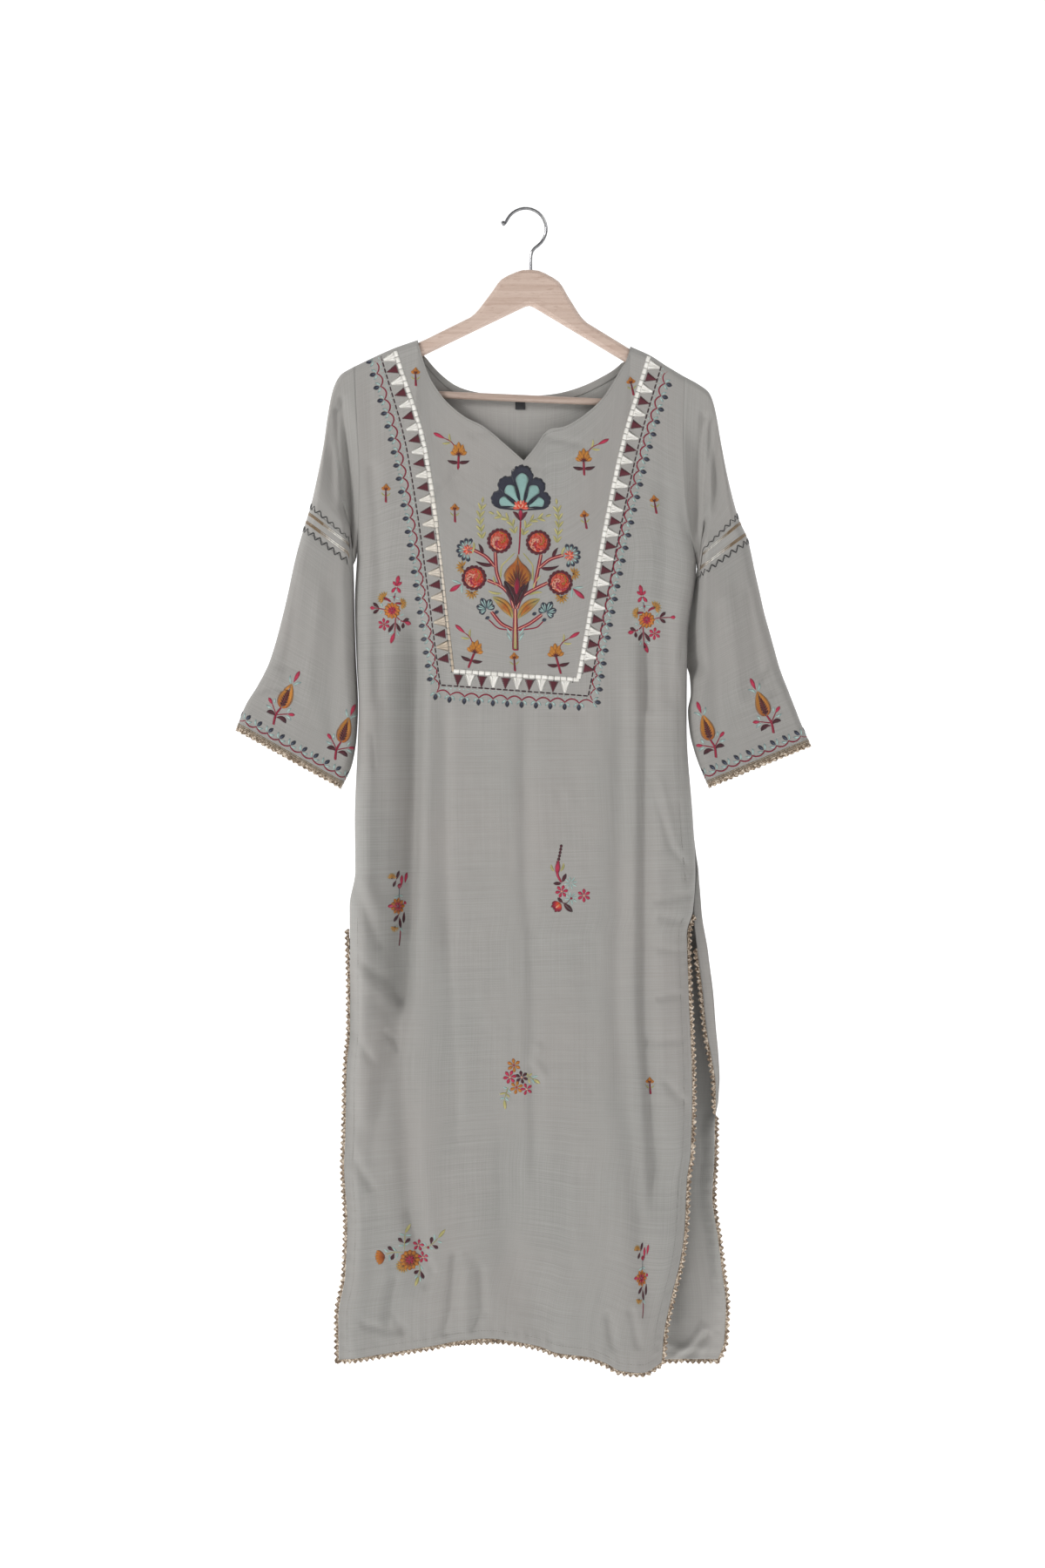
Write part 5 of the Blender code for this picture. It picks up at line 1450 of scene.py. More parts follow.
def flower_tree(work):
    """The middle of the yoke: palmette, flame, round blooms and tulips on one stem."""
    palmette(work)
    work.bud((-6.1, -358.8), (-6.1, -345), 5.4, (CRIMSON, ROSE), on=0.2)
    work.leaf((-6.6, -358.6), (-15.4, -347.6), 5, MAROON, bend=-0.10, high=0.6)
    work.leaf((-5.6, -358.6), (2, -347.6), 5, MAROON, bend=0.10, high=0.6)
    work.stem(((-6.1, -358), (-7.4, -384.6), (-8.4, -397)), 2.1, CRIMSON, high=0.5)
    for points in (((-13.7, -459), (-18.3, -445), (-27.5, -434), (-44.3, -426)),
                   ((-28.4, -433), (-34, -413.7), (-35.1, -394)),
                   ((-35.6, -411), (-45.9, -399.4), (-60.4, -391.4)),
                   ((-10.6, -459), (-5, -446), (6, -438.6), (25, -429)),
                   ((9.6, -434), (13.8, -413.7), (17.4, -396)),
                   ((15.2, -412), (28.4, -402), (43.4, -397.2)),
                   ((-15, -482.5), (-27.5, -476.4), (-39.7, -462)),
                   ((-9.4, -482.5), (3.1, -476.4), (18.6, -465.4))):
        work.branch(points)
    work.stem(((-12.2, -458), (-12.2, -482.5), (-12.2, -507)), (5.2, 8.4), CRIMSON, high=0.6)
    work.stem(((-12.2, -459), (-12.2, -482.5), (-12.2, -505)), (2, 4), (PEACH, OLIVE),
              high=0.3, on=0.5)
    for points in (((-15.6, -483.5), (-30, -481.6), (-43, -471)),
                   ((-8.6, -483.5), (11, -480.6), (20.4, -472.6))):
        work.stem(points, 1.7, CRIMSON, high=0.4)
    for x, z in ((-44, -469.4), (-33.6, -462.8), (20.8, -471.8), (9.5, -464.8)):
        work.leaf((x - 2.6, z - 1.2), (x + 2.6, z + 1.4), 4, (NAVY, SLATE), high=0.6, on=0.3)
    # the flame and its sheath
    outer = [(-8.4, -396.4), (-13.5, -405), (-21, -412), (-25.6, -421), (-22, -430),
             (-13, -434.5), (-9.6, -434.8)]
    left = curve(outer, 1.1)
    right = left.copy()
    right[:, 0] = -9.8 * 2 - left[:, 0] + 0.6
    jags = 0.7 * by_turns(len(left))[:, None] * np.array([1, 0])
    middle = np.array([-9.3, 0]) + np.outer(left[:, 1], [0, 1])
    for edge, other, slant in ((left - jags, middle, 0.8), (middle, right + jags, -0.8)):
        work.strip(edge, other, (GOLD_SILK, AMBER, GOLD_SILK, AMBER), high=0.9, slant=slant,
                   lanes=4)
    for k in range(9):
        reach = 26 - 12 * abs(k - 4) / 4
        work.fan((-9.4, -434), reach, [90 + (k - 4) * 15], 3, (MAROON, BROWN, AMBER),
                 inner=0.2, on=0.75, high=0.4, jag=0.3)
    work.leaf((-10.9, -443), (-9.6, -422), 7, (CRIMSON, CRIMSON, MAROON), high=0.7, on=0.8)
    for hand in (1, -1):
        work.leaf((-11.4 + hand * 0.5, -456), (-11 + hand * 14, -427), 10.5, DARK,
                  bend=0.05 * hand, high=0.7, on=0.3, full=0.55, vein=True)
    for points in (((-12.6, -395), (-21, -403), (-28, -411), (-29.4, -424)),
                   ((-3.4, -395), (3, -403), (7.8, -411), (7.4, -427))):
        work.stem(points, (1.4, 2.6), (OLIVE, STRAW, OLIVE), high=0.4)
    for x, z in ((-30.2, -381.2), (14.1, -383.1), (-59.3, -423.6), (39.1, -429)):
        work.bloom(x, z)
    work.half_bloom(-66.5, -391.5, 172)
    work.half_bloom(49.4, -398, 4)
    work.tulip(-44.6, -459.8, 116)
    work.tulip(22.8, -463.6, 62)
    for x, z, heading in ((-72.6, -411.4, 172), (-62, -440.6, -94), (54.2, -419, 6),
                          (40.6, -445.4, -88)):
        work.thistle(x, z, 8.4, heading, spread=84)
    for base, tip, leaves in (((-73.6, -430.4), (-87.4, -439.2), ((-85, -426), (-73, -441.6))),
                              ((53, -435.4), (67, -447.6), ((66, -434), (51.8, -447)))):
        work.bud(base, tip, 5.6)
        for leaf in leaves:
            work.leaf(base, leaf, 2.6, PALE, high=0.4)
    for base, tip, bend in (((-15, -470), (-38.6, -445.4), -0.10),
                            ((-9.4, -470.6), (16.4, -447.8), 0.10)):
        base, tip = np.array(base), np.array(tip)
        work.leaf(base, tip, 12, (OLIVE, GOLD_SILK, OLIVE), bend=bend, jag=0.6, vein=True,
                  high=0.5)
        work.leaf(mix(base, tip, 0.12), mix(base, tip, 0.85), 5.4, (GOLD_SILK, AMBER, OLIVE),
                  bend=bend, jag=0.5, high=0.4, on=0.45)
    work.leaves(((-32, -434, -37, -421), (-27, -441, -43.6, -438), (8, -437.6, 17, -421),
                 (3, -443.6, 19, -440.4), (-60, -382, -62, -396), (41, -399, 45.4, -387.6)),
                3.2, GREEN, bend=0.1, high=0.45)
    for base, tip, bend in (((-50, -398.6), (-54.6, -384.2), -0.1),
                            ((-37, -408.6), (-57.6, -404.4), 0.1),
                            ((31, -401.6), (37, -388.8), 0.1),
                            ((17, -412.4), (38.2, -409.4), -0.1)):
        work.leaf(base, tip, 4.6, DARK, bend=bend, full=0.4, high=0.6)
    work.spray(((-50, -379), (-52.4, -356), (-50, -338)), 5)
    work.spray(((35.2, -383.6), (37.6, -360), (35.4, -340)), 5)
    work.spray(((-12.4, -373), (-15, -364), (-20, -357), (-36, -350.6)), 4)
    work.spray(((-3.6, -375), (-0.4, -366), (5, -359), (22, -353.4)), 4)
    for hand in (1, -1):
        for low, out in ((-496, 10), (-489, 11.5)):
            work.leaf((-12.2 + hand * 4, low), (-12.2 + hand * out, low + 10), 2.6,
                      COOL, high=0.45)


def sprig(work, x, z, turned=0, mirror=1, foot=((0, -6), (-0.6, -23))):
    """A golden flower with a crimson bud over it and two dark leaves on its stem."""
    work.place(x, z, turned, mirror)
    work.stem(foot, 3, CRIMSON, high=0.5)
    for ring, (angles, reach) in enumerate((((22, 158, 48, 132), 10.6), ((68, 112), 13.6),
                                            ((90,), 15.6), ((50, 130, 74, 106), 9))):
        work.fan((0, -6.6), reach, angles, 5.4, (AMBER, GOLD_SILK, GOLD_SILK), on=0.12 * ring,
                 high=0.6, full=0.6)
        work.fan((0, -6.6), reach * 0.62, angles, 1.4, RUST, on=0.45 + 0.12 * ring,
                 high=0.25, full=0.4)
    work.knot((0, -6.4), 1.6, MAROON, on=0.9)
    low = np.array(foot).mean(axis=0)
    work.leaf(low, low + np.array([-13, 2.4]), 4.6, DARK, bend=0.10, full=0.4, high=0.6)
    work.leaf(low, low + np.array([13, 2]), 4.6, DARK, bend=-0.10, full=0.4, high=0.6)
    work.stem(((-4.4, 3.6), (-9.4, 9.6), (-16, 13)), 1.3, CRIMSON, high=0.4)
    work.bud((-15, 12.4), (-29.4, 19.6), 4.4)
    work.leaf((-8.4, 8.2), (-10.6, 19), 2.8, GREEN, bend=0.1, high=0.4)
    work.leaf((-8.8, 8.8), (-19.4, 7.4), 2.8, GREEN, bend=0.1, high=0.4)
    work.place()


def butti(work, x, z, turned=0, size=1):
    """The smallest sprig: one golden flower on a stem with two thin leaves."""
    work.place(x, z, turned, 1, size)
    work.stem(((0, -3), (0.4, -9), (1, -17.6)), (1.7, 3.4), (MAROON, CRIMSON), high=0.5)
    work.fan((0, -4), 6.6, (36, 144, 62, 118), 3.6, GOLDEN, high=0.6)
    work.fan((0, -4), 8.6, (90,), 4.2, GOLDEN, high=0.6, on=0.2)
    work.fan((0, -4), 4.6, (62, 90, 118), 1.2, BROWN, high=0.25, on=0.65)
    work.leaf((0.2, -10), (-5.2, -5.6), 1.6, OLIVE, high=0.4, bend=0.1)
    work.leaf((0.2, -10), (5.6, -5.6), 1.6, OLIVE, high=0.4, bend=-0.1)
    work.place()


def side_bouquet(work, x, z, mirror, long_branch):
    """A round flower with two thistles, a smaller flower, and buds and leaves all round."""
    work.place(x, z, 0, mirror)
    work.stem(((5.1, 27), (3.4, 18), (2.2, 10)), 0.9, SLATE, high=0.3)
    for tip, width in (((7.7, 40.4), 5.2), ((1, 33.6), 3.6), ((11.4, 32.8), 3.6),
                       ((-0.8, 20.2), 4), ((9.8, 19.8), 4)):
        work.leaf((5.1, 27.4), tip, width, ROSY, full=0.62, high=0.6)
    work.knot((5.1, 27.2), 0.9, CREAM)
    work.knot((2.5, 15.3), 1.4, CRIMSON)
    work.leaves(((2.2, 15.2, -4.6, 15.4), (2.8, 15.2, 8.6, 13), (5, 26, 3.4, 19),
                 (9.4, -6, 13.4, -3.8), (2.2, -23.6, -4.2, -27.6), (5.6, -24, 7.8, -29),
                 (-10.4, 4, -13.4, 9), (-10.6, 0, -14.6, -4.4), (9.2, -9.4, 8, -14.6)),
                1.9, PALE, high=0.4)
    work.stem(((-1.4, 9.6), (-5, 12.6), (-9.6, 14.2)), (2, 4.2), CRIMSON, high=0.5)
    work.thistle(-9, 14, 8.6, 150)
    work.stem(((3.4, 8.4), (7, 8.2), (10.2, 7.8)), (2, 3.4), CRIMSON, high=0.5)
    work.thistle(10, 7.8, 7.6, 4)
    end = -33.5 if long_branch else -25.6
    work.stem(((-8.6, 1.2), (-15, 2.4), (end + 5, 3)), 1.3, CRIMSON, high=0.4)
    work.bud((end + 7, 2.8), (end, 3.2), 4.6)
    work.leaves(((-14.6, 2.8, -22, 9.2), (-14.6, 1.8, -22, -3.4), (2.9, -13.6, -4.4, -25),
                 (4.6, -14, 9.2, -24), (12, -12, 19.4, -9), (12.8, -13.2, 12, -20.6)),
                4.2, DARK, full=0.6, high=0.55)
    work.stem(((4, -7.4), (3.6, -16), (2.9, -25)), 1.5, CRIMSON, high=0.4)
    work.bud((3.4, -24), (-1.8, -37.8), 5)
    work.stem(((5, -7), (10, -11.6), (15, -13.2)), 1.5, CRIMSON, high=0.4)
    work.bud((13.6, -12.8), (21.6, -15.2), 5.2)
    work.flower(-9.2, -15.7, 7.6, 6, ROSY, RED, start=95)
    work.fan((0, 0), 9.8, np.arange(12) * 30, 4.6, RIMMED, inner=0.35, high=0.7)
    work.fan((0, 0), 7.6, np.arange(10) * 36 + 10, 3.6, (FLAME, GOLD_SILK), inner=0.2,
             on=0.4, high=0.5)
    work.fan((0, 0), 4.8, np.arange(7) * 51.4, 2.8, (ROSE, CRIMSON), on=0.8, high=0.5)
    work.place()


def star(work, x, z, reach, eye=None):
    """Eight thin pale petals, with a knot of thread on them where an eye is given."""
    work.fan((x, z), reach, np.arange(8) * 45 + 12, 1.9, PALE, inner=0.12, high=0.4)
    if eye is not None:
        work.knot((x, z), 1.5, eye)


def drooping_sprig(work):
    """A beaded tip over a long bud, with stars, two crimson flowers and a tulip."""
    for k, (x, z) in enumerate(((40.2, -730), (39.6, -733.6), (38.9, -737.4), (38.2, -741.2),
                                (37.4, -745))):
        work.leaf((x + 0.3, z + 2.4), (x - 0.3, z - 2.2), 3.6 + 0.1 * k, (PLUM, MAROON), high=0.7)
    work.stem(((37.2, -746.6), (35.6, -754), (35.8, -761), (40.4, -771.6)), (4.6, 2.6),
              ROSY, high=0.7)
    work.leaf((35.4, -763), (36.8, -746.6), 6, ROSY, high=0.7, on=0.2)
    for base, tip, bend in (((32.6, -759), (28.9, -750.6), 0.14),
                            ((38.8, -759), (42.8, -748.6), -0.14)):
        work.leaf(base, tip, 3.2, (STRAW, OLIVE, STRAW), bend=bend, high=0.45)
    for base, tip, width in (((41.4, -771.2), (45.9, -761), 4.8),
                             ((40.6, -772.6), (30.8, -772.6), 4.4),
                             ((42, -794.6), (35.8, -788.6), 4.2),
                             ((43, -795.4), (53.4, -805.4), 6.4)):
        work.leaf(base, tip, width, DARK, full=0.5, high=0.6, vein=width > 5)
    work.stem(((41, -794.8), (45.4, -795.2), (51, -790.6)), 1.2, MAROON, high=0.35)
    work.flower(40.7, -781.7, 7.9, 6, ROSY, PEACH, start=70)
    work.flower(66.2, -786.3, 8.2, 6, ROSY, PEACH, start=90)
    star(work, 51.3, -772, 7.9)
    star(work, 51.6, -789.6, 7.9, CRIMSON)
    for k, angle in enumerate((184, 250, 202, 234, 218)):
        work.fan((40.6, -794.6), (11.5, 11.5, 13.2, 13.2, 12.4)[k], [angle], 5.6,
                 (AMBER, FLAME, CRIMSON, MAROON), full=0.6, on=0.1 * k, high=0.55)
    work.leaf((38.6, -796.2), (33.2, -801), 2.6, (GOLD_SILK, PEACH), on=0.8, high=0.3)


def leafy(work, points, leaves, tip):
    """A thin stem with leaves given one by one and a broad leaf at its tip."""
    work.stem(points, 1.1, OLIVE, high=0.3)
    for *row, dye in leaves:
        work.leaf(row[:2], row[2:], 2.4, dye, high=0.45)
    work.leaf(points[-1], tip, 4.2, GREEN, high=0.5)


def middle_sprig(work):
    """Five small flowers in a bent column with a leafy stem at each end."""
    leafy(work, ((0.6, -993.7), (5, -994.4), (8.8, -996.5)),
          ((6, -994.4, 13.8, -992.4, PALE), (6.5, -995.6, 9.8, -1002.6, PALE),
           (2.6, -995, 4.6, -1001.6, GREEN), (3, -993.4, 7, -989.4, GREEN),
           (1.4, -993.2, 2, -989, GREEN)), (16.4, -1001.2))
    leafy(work, ((-20.3, -1004.7), (-22.6, -1012), (-24.8, -1019.4)),
          ((-22.4, -1011.6, -30.6, -1013.4, GREEN), (-22.7, -1012.6, -18.5, -1017.4, GREEN),
           (-21, -1007, -26.4, -1005.4, PALE), (-20.6, -1008, -17.1, -1012.2, PALE),
           (-23.8, -1017.2, -30.2, -1018.9, PALE), (-23.8, -1017, -19.5, -1021.4, PALE)),
          (-23.4, -1031))
    golden = (AMBER, GOLD_SILK, AMBER)
    for row in ((-13.9, -980.3, 8.4, 6, golden, CRIMSON, 95),
                (-18.4, -993.7, 8.4, 6, ROSY, PEACH, 70), (-5, -993.9, 8, 6, DARK, PEACH, 100),
                (-10.8, -1005.6, 8.2, 6, golden, RED, 80),
                (0.7, -1007.5, 7.4, 5, ROSY, PEACH, 108)):
        work.flower(*row)


def hem_bouquet(work):
    """A round flower, two small ones, a thistle and a tuft, with leafy stems round them."""
    leafy(work, ((-139.6, -1192), (-138.8, -1182), (-138.4, -1173)),
          ((-138.6, -1175.4, -145.6, -1173, PALE), (-138.2, -1175.6, -131, -1175.6, PALE),
           (-139.4, -1186.6, -146, -1186.8, PALE), (-139, -1187, -133.4, -1183.4, PALE)),
          (-132.2, -1162.6))
    leafy(work, ((-117.8, -1190.4), (-108.7, -1185.5), (-100.4, -1177.8)),
          ((-104, -1181, -104.8, -1172.8, PALE), (-101.4, -1181.4, -95.6, -1183.2, PALE),
           (-113, -1187.4, -118, -1183, PALE), (-111, -1187.6, -105.6, -1190.6, PALE)),
          (-92, -1167.6))
    leafy(work, ((-122, -1206), (-121.6, -1215.8), (-123, -1222.4)),
          ((-124, -1220.4, -127.4, -1225, PALE), (-121, -1222, -120.6, -1228.4, PALE),
           (-120.8, -1210, -117.8, -1215.6, PALE), (-123.4, -1209.6, -128.6, -1213, PALE)),
          (-126.8, -1233.4))
    work.stem(((-140, -1194.4), (-150, -1194), (-160.4, -1196.4)), 1.1, OLIVE, high=0.3)
    work.leaves(((-139.6, -1184, -146.4, -1177.8), (-139, -1184.4, -132.2, -1179),
                 (-151, -1193, -158.2, -1187.4), (-150.4, -1194.6, -154, -1203.2),
                 (-108.6, -1185.2, -107.6, -1176), (-107.4, -1185.4, -100, -1189.6),
                 (-122, -1215.4, -128.4, -1219), (-120.8, -1215.6, -117, -1225)),
                4.6, DARK, full=0.66, high=0.6)
    work.leaves(((-157.4, -1193.4, -162, -1190.2), (-156.6, -1196.4, -156.8, -1204.6),
                 (-147, -1194.4, -148.8, -1201.6), (-147.6, -1192.6, -152.6, -1187.8),
                 (-114, -1196, -109.6, -1198.6), (-124, -1206.4, -127.6, -1209.4)),
                2.3, PALE, high=0.45, bend=0.1)
    work.thistle(-140.6, -1209.6, 9, 222)
    work.fan((-160, -1198.6), 13, np.linspace(150, 226, 6), 5.2, (BROWN, AMBER, GOLD_SILK),
             high=0.8)
    work.knot((-111.8, -1188.6), 1.7, CRIMSON)
    for x, z, start in ((-123.2, -1187, 80), (-117.8, -1200.4, 100)):
        work.flower(x, z, 7.2, 5, ROSY, PEACH, start=start)
    work.place(-132.9, -1202.5, 0, 1)
    work.fan((0, -1), 12, np.arange(12) * 30, 6, RIMMED, inner=0.35, high=0.8)
    work.fan((0, -1), 8.4, np.arange(10) * 36 + 10, 4.2, (BROWN, AMBER), inner=0.2, on=0.5,
             high=0.5)
    work.fan((0, -0.6), 5.4, np.arange(7) * 51.4, 3, (ROSE, CRIMSON), on=0.9, high=0.5)
    work.place()


def pinched_sprig(work, x, z, squeeze=1):
    """A tall narrow bouquet, as the skirt's folds close on it."""
    work.place(x, z)
    work.axes = np.array([[squeeze, 0], [0, 1]])
    work.thistle(-8, 30, 7, 90)
    work.leaves(((-2, 28, 2.4, 39), (-2, 28, -6.6, 20), (2, -11, -6, -20), (2, -14, 4, -28),
                 (9, -8, 8, -22)), 4.4, DARK, full=0.6, high=0.6)
    for base, tip in (((5, 20), (6, 34)), ((10, 24), (13, 37)), ((-4, -1), (-14, -2)),
                      ((8, 0), (12, 3))):
        work.bud(base, tip, 4.6)
    work.knot((2.4, 21), 3, CRIMSON)
    work.stem(((2.4, 20), (2, 12), (1.8, 6)), 1, SLATE, high=0.3)
    work.leaves(((1.8, 10, -5.4, 7), (2, 10.6, 7.4, 9), (-1, -24, -4, -32), (3, -26, 7, -32)),
                2.2, PALE, high=0.4)
    work.fan((0, -2), 10, np.arange(9) * 40, 5.2, (CRIMSON, AMBER, GOLD_SILK), high=0.7)
    work.fan((0, -2), 5.4, np.arange(6) * 60, 3, (CRIMSON, ROSE), on=0.6, high=0.5)
    work.thistle(-4.4, -26, 6.6, -96)
    work.stem(((3.6, -30), (3, -38), (1.6, -48)), 1.8, (CRIMSON, MAROON), high=0.45)
    work.place()


def cuff_flower(work, x, z, turned, mirror):
    """A serrated golden leaf with a bud at its tip, on a forked crimson stem."""
    work.place(x, z, turned, mirror)
    work.stem(((0, 0.6), (-6.7, -8.6), (-9.5, -19.8)), (2.3, 3.6), CRIMSON, high=0.55)
    work.leaf((-0.4, -0.6), (12.2, 27.2), 17.5, (AMBER, GOLD_SILK, GOLD_SILK), full=0.36, jag=0.9,
              vein=True, high=0.7)
    for k in range(7):
        at = np.array([0.6 + 1.15 * k, 2 + 2.6 * k])
        way = unit(np.array([12, 26.8]))
        aside = np.array([-way[1], way[0]])
        reach = (5.6, 6.4, 6.2, 5.4, 4.4, 3.2, 2)[k]
        for hand in (1, -1):
            work.leaf(at, at + unit(way * 0.9 + aside * hand) * reach, 2.2, RUST, on=0.6,
                      high=0.35, lanes=2)
    work.leaf((0.4, 1.4), (10, 22), 2.6, RUST, on=0.7, high=0.4, jag=0.3)
    work.bud((13.9, 28.2), (21.2, 41.8), 4.8)
    work.stem(((-6.2, -7.8), (-8.6, -1), (-10.6, 4.6)), 1.4, CRIMSON, high=0.4)
    work.bud((-10, 3.4), (-14.9, 11.8), 4.2)
    work.stem(((-6, -8.2), (0.4, -7.8), (7.4, -7.4)), 1.4, CRIMSON, high=0.4)
    work.bud((6.4, -7.4), (15.6, -8.6), 4.2)
    work.leaves(((11.8, 26.4, 10.6, 37.2), (13.2, 24.8, 23.4, 28.4), (-7.4, 4.2, -6.8, 11),
                 (-10.4, -0.4, -17.4, 3.4), (6.6, -5.8, 11.4, -0.8), (4.8, -9.4, 11, -14.8)),
                2.6, COOL, bend=0.1, high=0.45)
    work.leaf((-7, -10.4), (-17.6, -5), 5.4, DARK, bend=-0.22, full=0.6, high=0.6)
    work.leaf((-6.4, -11.4), (5, -18.4), 5.8, DARK, bend=0.22, full=0.6, high=0.6)
    work.place()


# ---- thread on the garment -----------------------------------------------------------
TAPE = (((-150, -163), (-115, -279), (-83, -531)),
        ((-83, -530), (61, -540)),
        ((60, -539), (109, -279), (141, -169)))
DASHED = (((-166.5, -168), (-136, -279), (-98, -546)),
          ((-98, -546), (71, -558.6)),
          ((71, -559), (127, -279), (155, -180)))
SCALLOPED = (((-175, -174), (-146, -281), (-102.6, -554)),
             ((-102.6, -554.6), (-80, -558.6), (77, -567.6)),
             ((77, -565), (91, -476), (135, -279), (163.5, -186)))


def yoke_border(work, metal):
    """Ribbon, triangles, dashes and scallops down one side, across and up the other."""
    tones = ((SILVER, SILVER, CREAM, BEIGE), (SILVER, SILVER), (SILVER, SILVER, SILVER))
    for run, (tape, dashed, scalloped) in enumerate(zip(TAPE, DASHED, SCALLOPED)):
        trail = Trail(tape)
        shades = np.array(tones[run])
        spots = np.linspace(0.0, 1.0, len(shades))
        shade = lambda s: read_off(s, spots, shades)
        facets = round(trail.length / 7.2)
        for k in range(facets):
            s = (np.array([0.04, 0.35, 0.65, 0.96]) + k) * trail.length / facets
            p, _way, side = trail.at(s)
            worn = run == 0 and k / facets > 0.55
            half = 1.8 if worn else 2.9
            metal.strip(p + side * half, p - side * half, shade(k / facets) * 1.04, high=0.6,
                        lanes=4, blunt=True)
            if not k % 3 or worn:
                at, long = p[3] - side[3] * (half + 0.4), side[3] * 0.9
                work.leaf(at - long, at + long, 1.1, INK, high=0.3, on=0.2, lanes=2)
        # triangles, pale and dark by turns, their points away from the yoke
        count = round((trail.length - 8.0) / 14.2)
        for k in range(count):
            s = 6.0 + (k + (0.0 if run < 2 else 0.5)) * (trail.length - 8.0) / count
            (p,), (way,), (side,) = trail.at(s)
            out = -side
            at = p + out * 2.2
            pale = (k + (run == 1)) % 2 == (1 if run == 2 else 0)
            if pale:
                tint = shade(s / trail.length)
                metal.triangle(at, way, out, 14.6, 13.4, (tint * 1.02, tint * 0.94, tint), jag=0.2,
                               tip=0.22)
                for hand in (1.0, -1.0):
                    metal.triangle(at + way * hand * 3.4 + out * 0.7,
                                   unit(way - out * 0.25 * hand), unit(out - way * 0.25 * hand),
                                   5.6, 9.0, tint * 1.08, on=0.4)
            else:
                work.triangle(at + out * 1.6, way, out, 12.4, 12.6, MAROON, jag=0.5)
        work.dashes(Trail(dashed), 7.2, 5.6, 1.9, PLUM)
        inner = Trail(curve(dashed, 3.0))
        count = round(inner.length / 5.0)
        for k in range(count):
            (p,), (way,), (side,) = inner.at((k + 0.5) * inner.length / count)
            at = p - side * 2.9
            work.leaf(at - way * 1.4, at + way * 1.4, 1.5, AQUA_PALE, high=0.4, lanes=2)
        work.vine(Trail(scalloped), -1.0, 15.2 if run != 1 else 15.8, 4.4)


BAND_MARGIN = 12.0         # of a band's ground, above and below the band
TUCKED = 34.0              # cloth on each side of the inner edge that is caught in
ZIGZAG_STEP, ZIGZAG_HALF = 9.5, 3.4
BAND_FACETS, CUFF_FACETS = 64, 90
CUFF_REACH = 30.0


def level_bar(work, u, level, half, tint, high):
    """A bar of thread laid level round a sleeve, through the places u."""
    row = np.stack([u, np.full(len(u), level)], axis=1)
    work.strip(row + [0.0, half], row - [0.0, half], tint, high=high, lanes=2, blunt=True)


def sleeve_trim(side, sleeve, band):
    """Zigzags and ribbons on a sleeve's band, and the scallops above its lower end."""
    around = Ring(sleeve, band[0] - BAND_MARGIN, band[1] + BAND_MARGIN)
    work, metal = Stitching(around, 51), Stitching(around, 52)
    count = round(around.round / ZIGZAG_STEP)
    step = around.round / count
    for down in (band[0] - 1.0, band[1] + 1.0):
        middle = around.end - down
        for k in range(count):
            if abs((k + 0.5) * step - around.round / 2) < TUCKED:
                continue
            low = np.array((k * step, middle - ZIGZAG_HALF))
            peak = np.array((k * step + step * 0.62, middle + ZIGZAG_HALF))
            after = np.array(((k + 1) * step, middle - ZIGZAG_HALF))
            for a, b in ((low, peak), (peak, after)):
                stroke = np.array((a, mix(a, b, 0.5), b))
                work.strip(*[stroke + np.array([h, 0.25 * abs(h)]) for h in (-1.0, 1.0)], INK,
                           high=0.6, lanes=2, blunt=True)
    front, facet = around.round / 4, around.round / BAND_FACETS
    for down in (band[0] + 7.6, band[1] - 7.6):
        for k in range(BAND_FACETS):
            u = np.linspace(0.0, 1.0, 4) * facet + k * facet
            if abs(u.mean() - around.round / 2) < TUCKED:
                continue
            # painted highlight: the ribbon turns from bronze to silver towards the middle of the
            # front, as if lit there
            near = math.exp(-((((u[0] - front + 22.0) % around.round) - 22.0) / 16.0) ** 2)
            tint = mix(BRONZE, SILVER, near) * (1.0 + 0.08 * (k % 2))
            for rib in (-0.95, 0.95):
                level_bar(metal, u, around.end - down + rib, 0.92, tint, 0.5)
    zigzag = work.finish(f"band_thread_{side}", THREAD)
    ribbon = metal.finish(f"band_ribbon_{side}", GOTA)

    last = sleeve.table[-1][0]
    cuff = Ring(sleeve, last - CUFF_REACH, last)
    vine, trim = Stitching(cuff, 53), Stitching(cuff, 54)
    arcs = round(cuff.round / 14.6)
    line_up = Trail(((0.0, 10.4), (cuff.round * 0.5, 10.4), (cuff.round, 10.4)))
    vine.vine(line_up, 1.0, cuff.round / arcs, 3.4, bud=(4.6, 8.2), lean=28.0)
    facet = cuff.round / CUFF_FACETS
    for k in range(CUFF_FACETS):
        u = np.linspace(0.0, 1.0, 3) * facet + k * facet
        for rib, tone in ((0.9, 1.0), (2.9, 0.92)):
            level_bar(trim, u, rib, 0.95, mix(BRONZE, CREAM, 0.2 + 0.15 * (k % 2)) * tone, 0.55)
    return [zigzag, ribbon, vine.finish(f"cuff_vine_{side}", THREAD),
            trim.finish(f"cuff_ribbon_{side}", GOTA)]


STITCH_PITCH, STITCH_LENGTH, STITCH_HALF = 3.4, 2.3, 0.24
STITCH_DYE = dyed(134, 130, 122)
BACKSTITCHED = ((179, -495), (173, -545), (175, -680), (182, -770))


def run_stitches(work, points):
    """A row of plain machine stitches in the cloth's own colour."""
    trail = Trail(points)
    count = round(trail.length / STITCH_PITCH)
    for a, w, n in zip(*trail.at(np.arange(count) * trail.length / count)):
        row = np.stack([a, a + w * STITCH_LENGTH / 2, a + w * STITCH_LENGTH])
        work.strip(row + n * STITCH_HALF, row - n * STITCH_HALF, STITCH_DYE, high=0.12, lanes=2,
                   blunt=True)


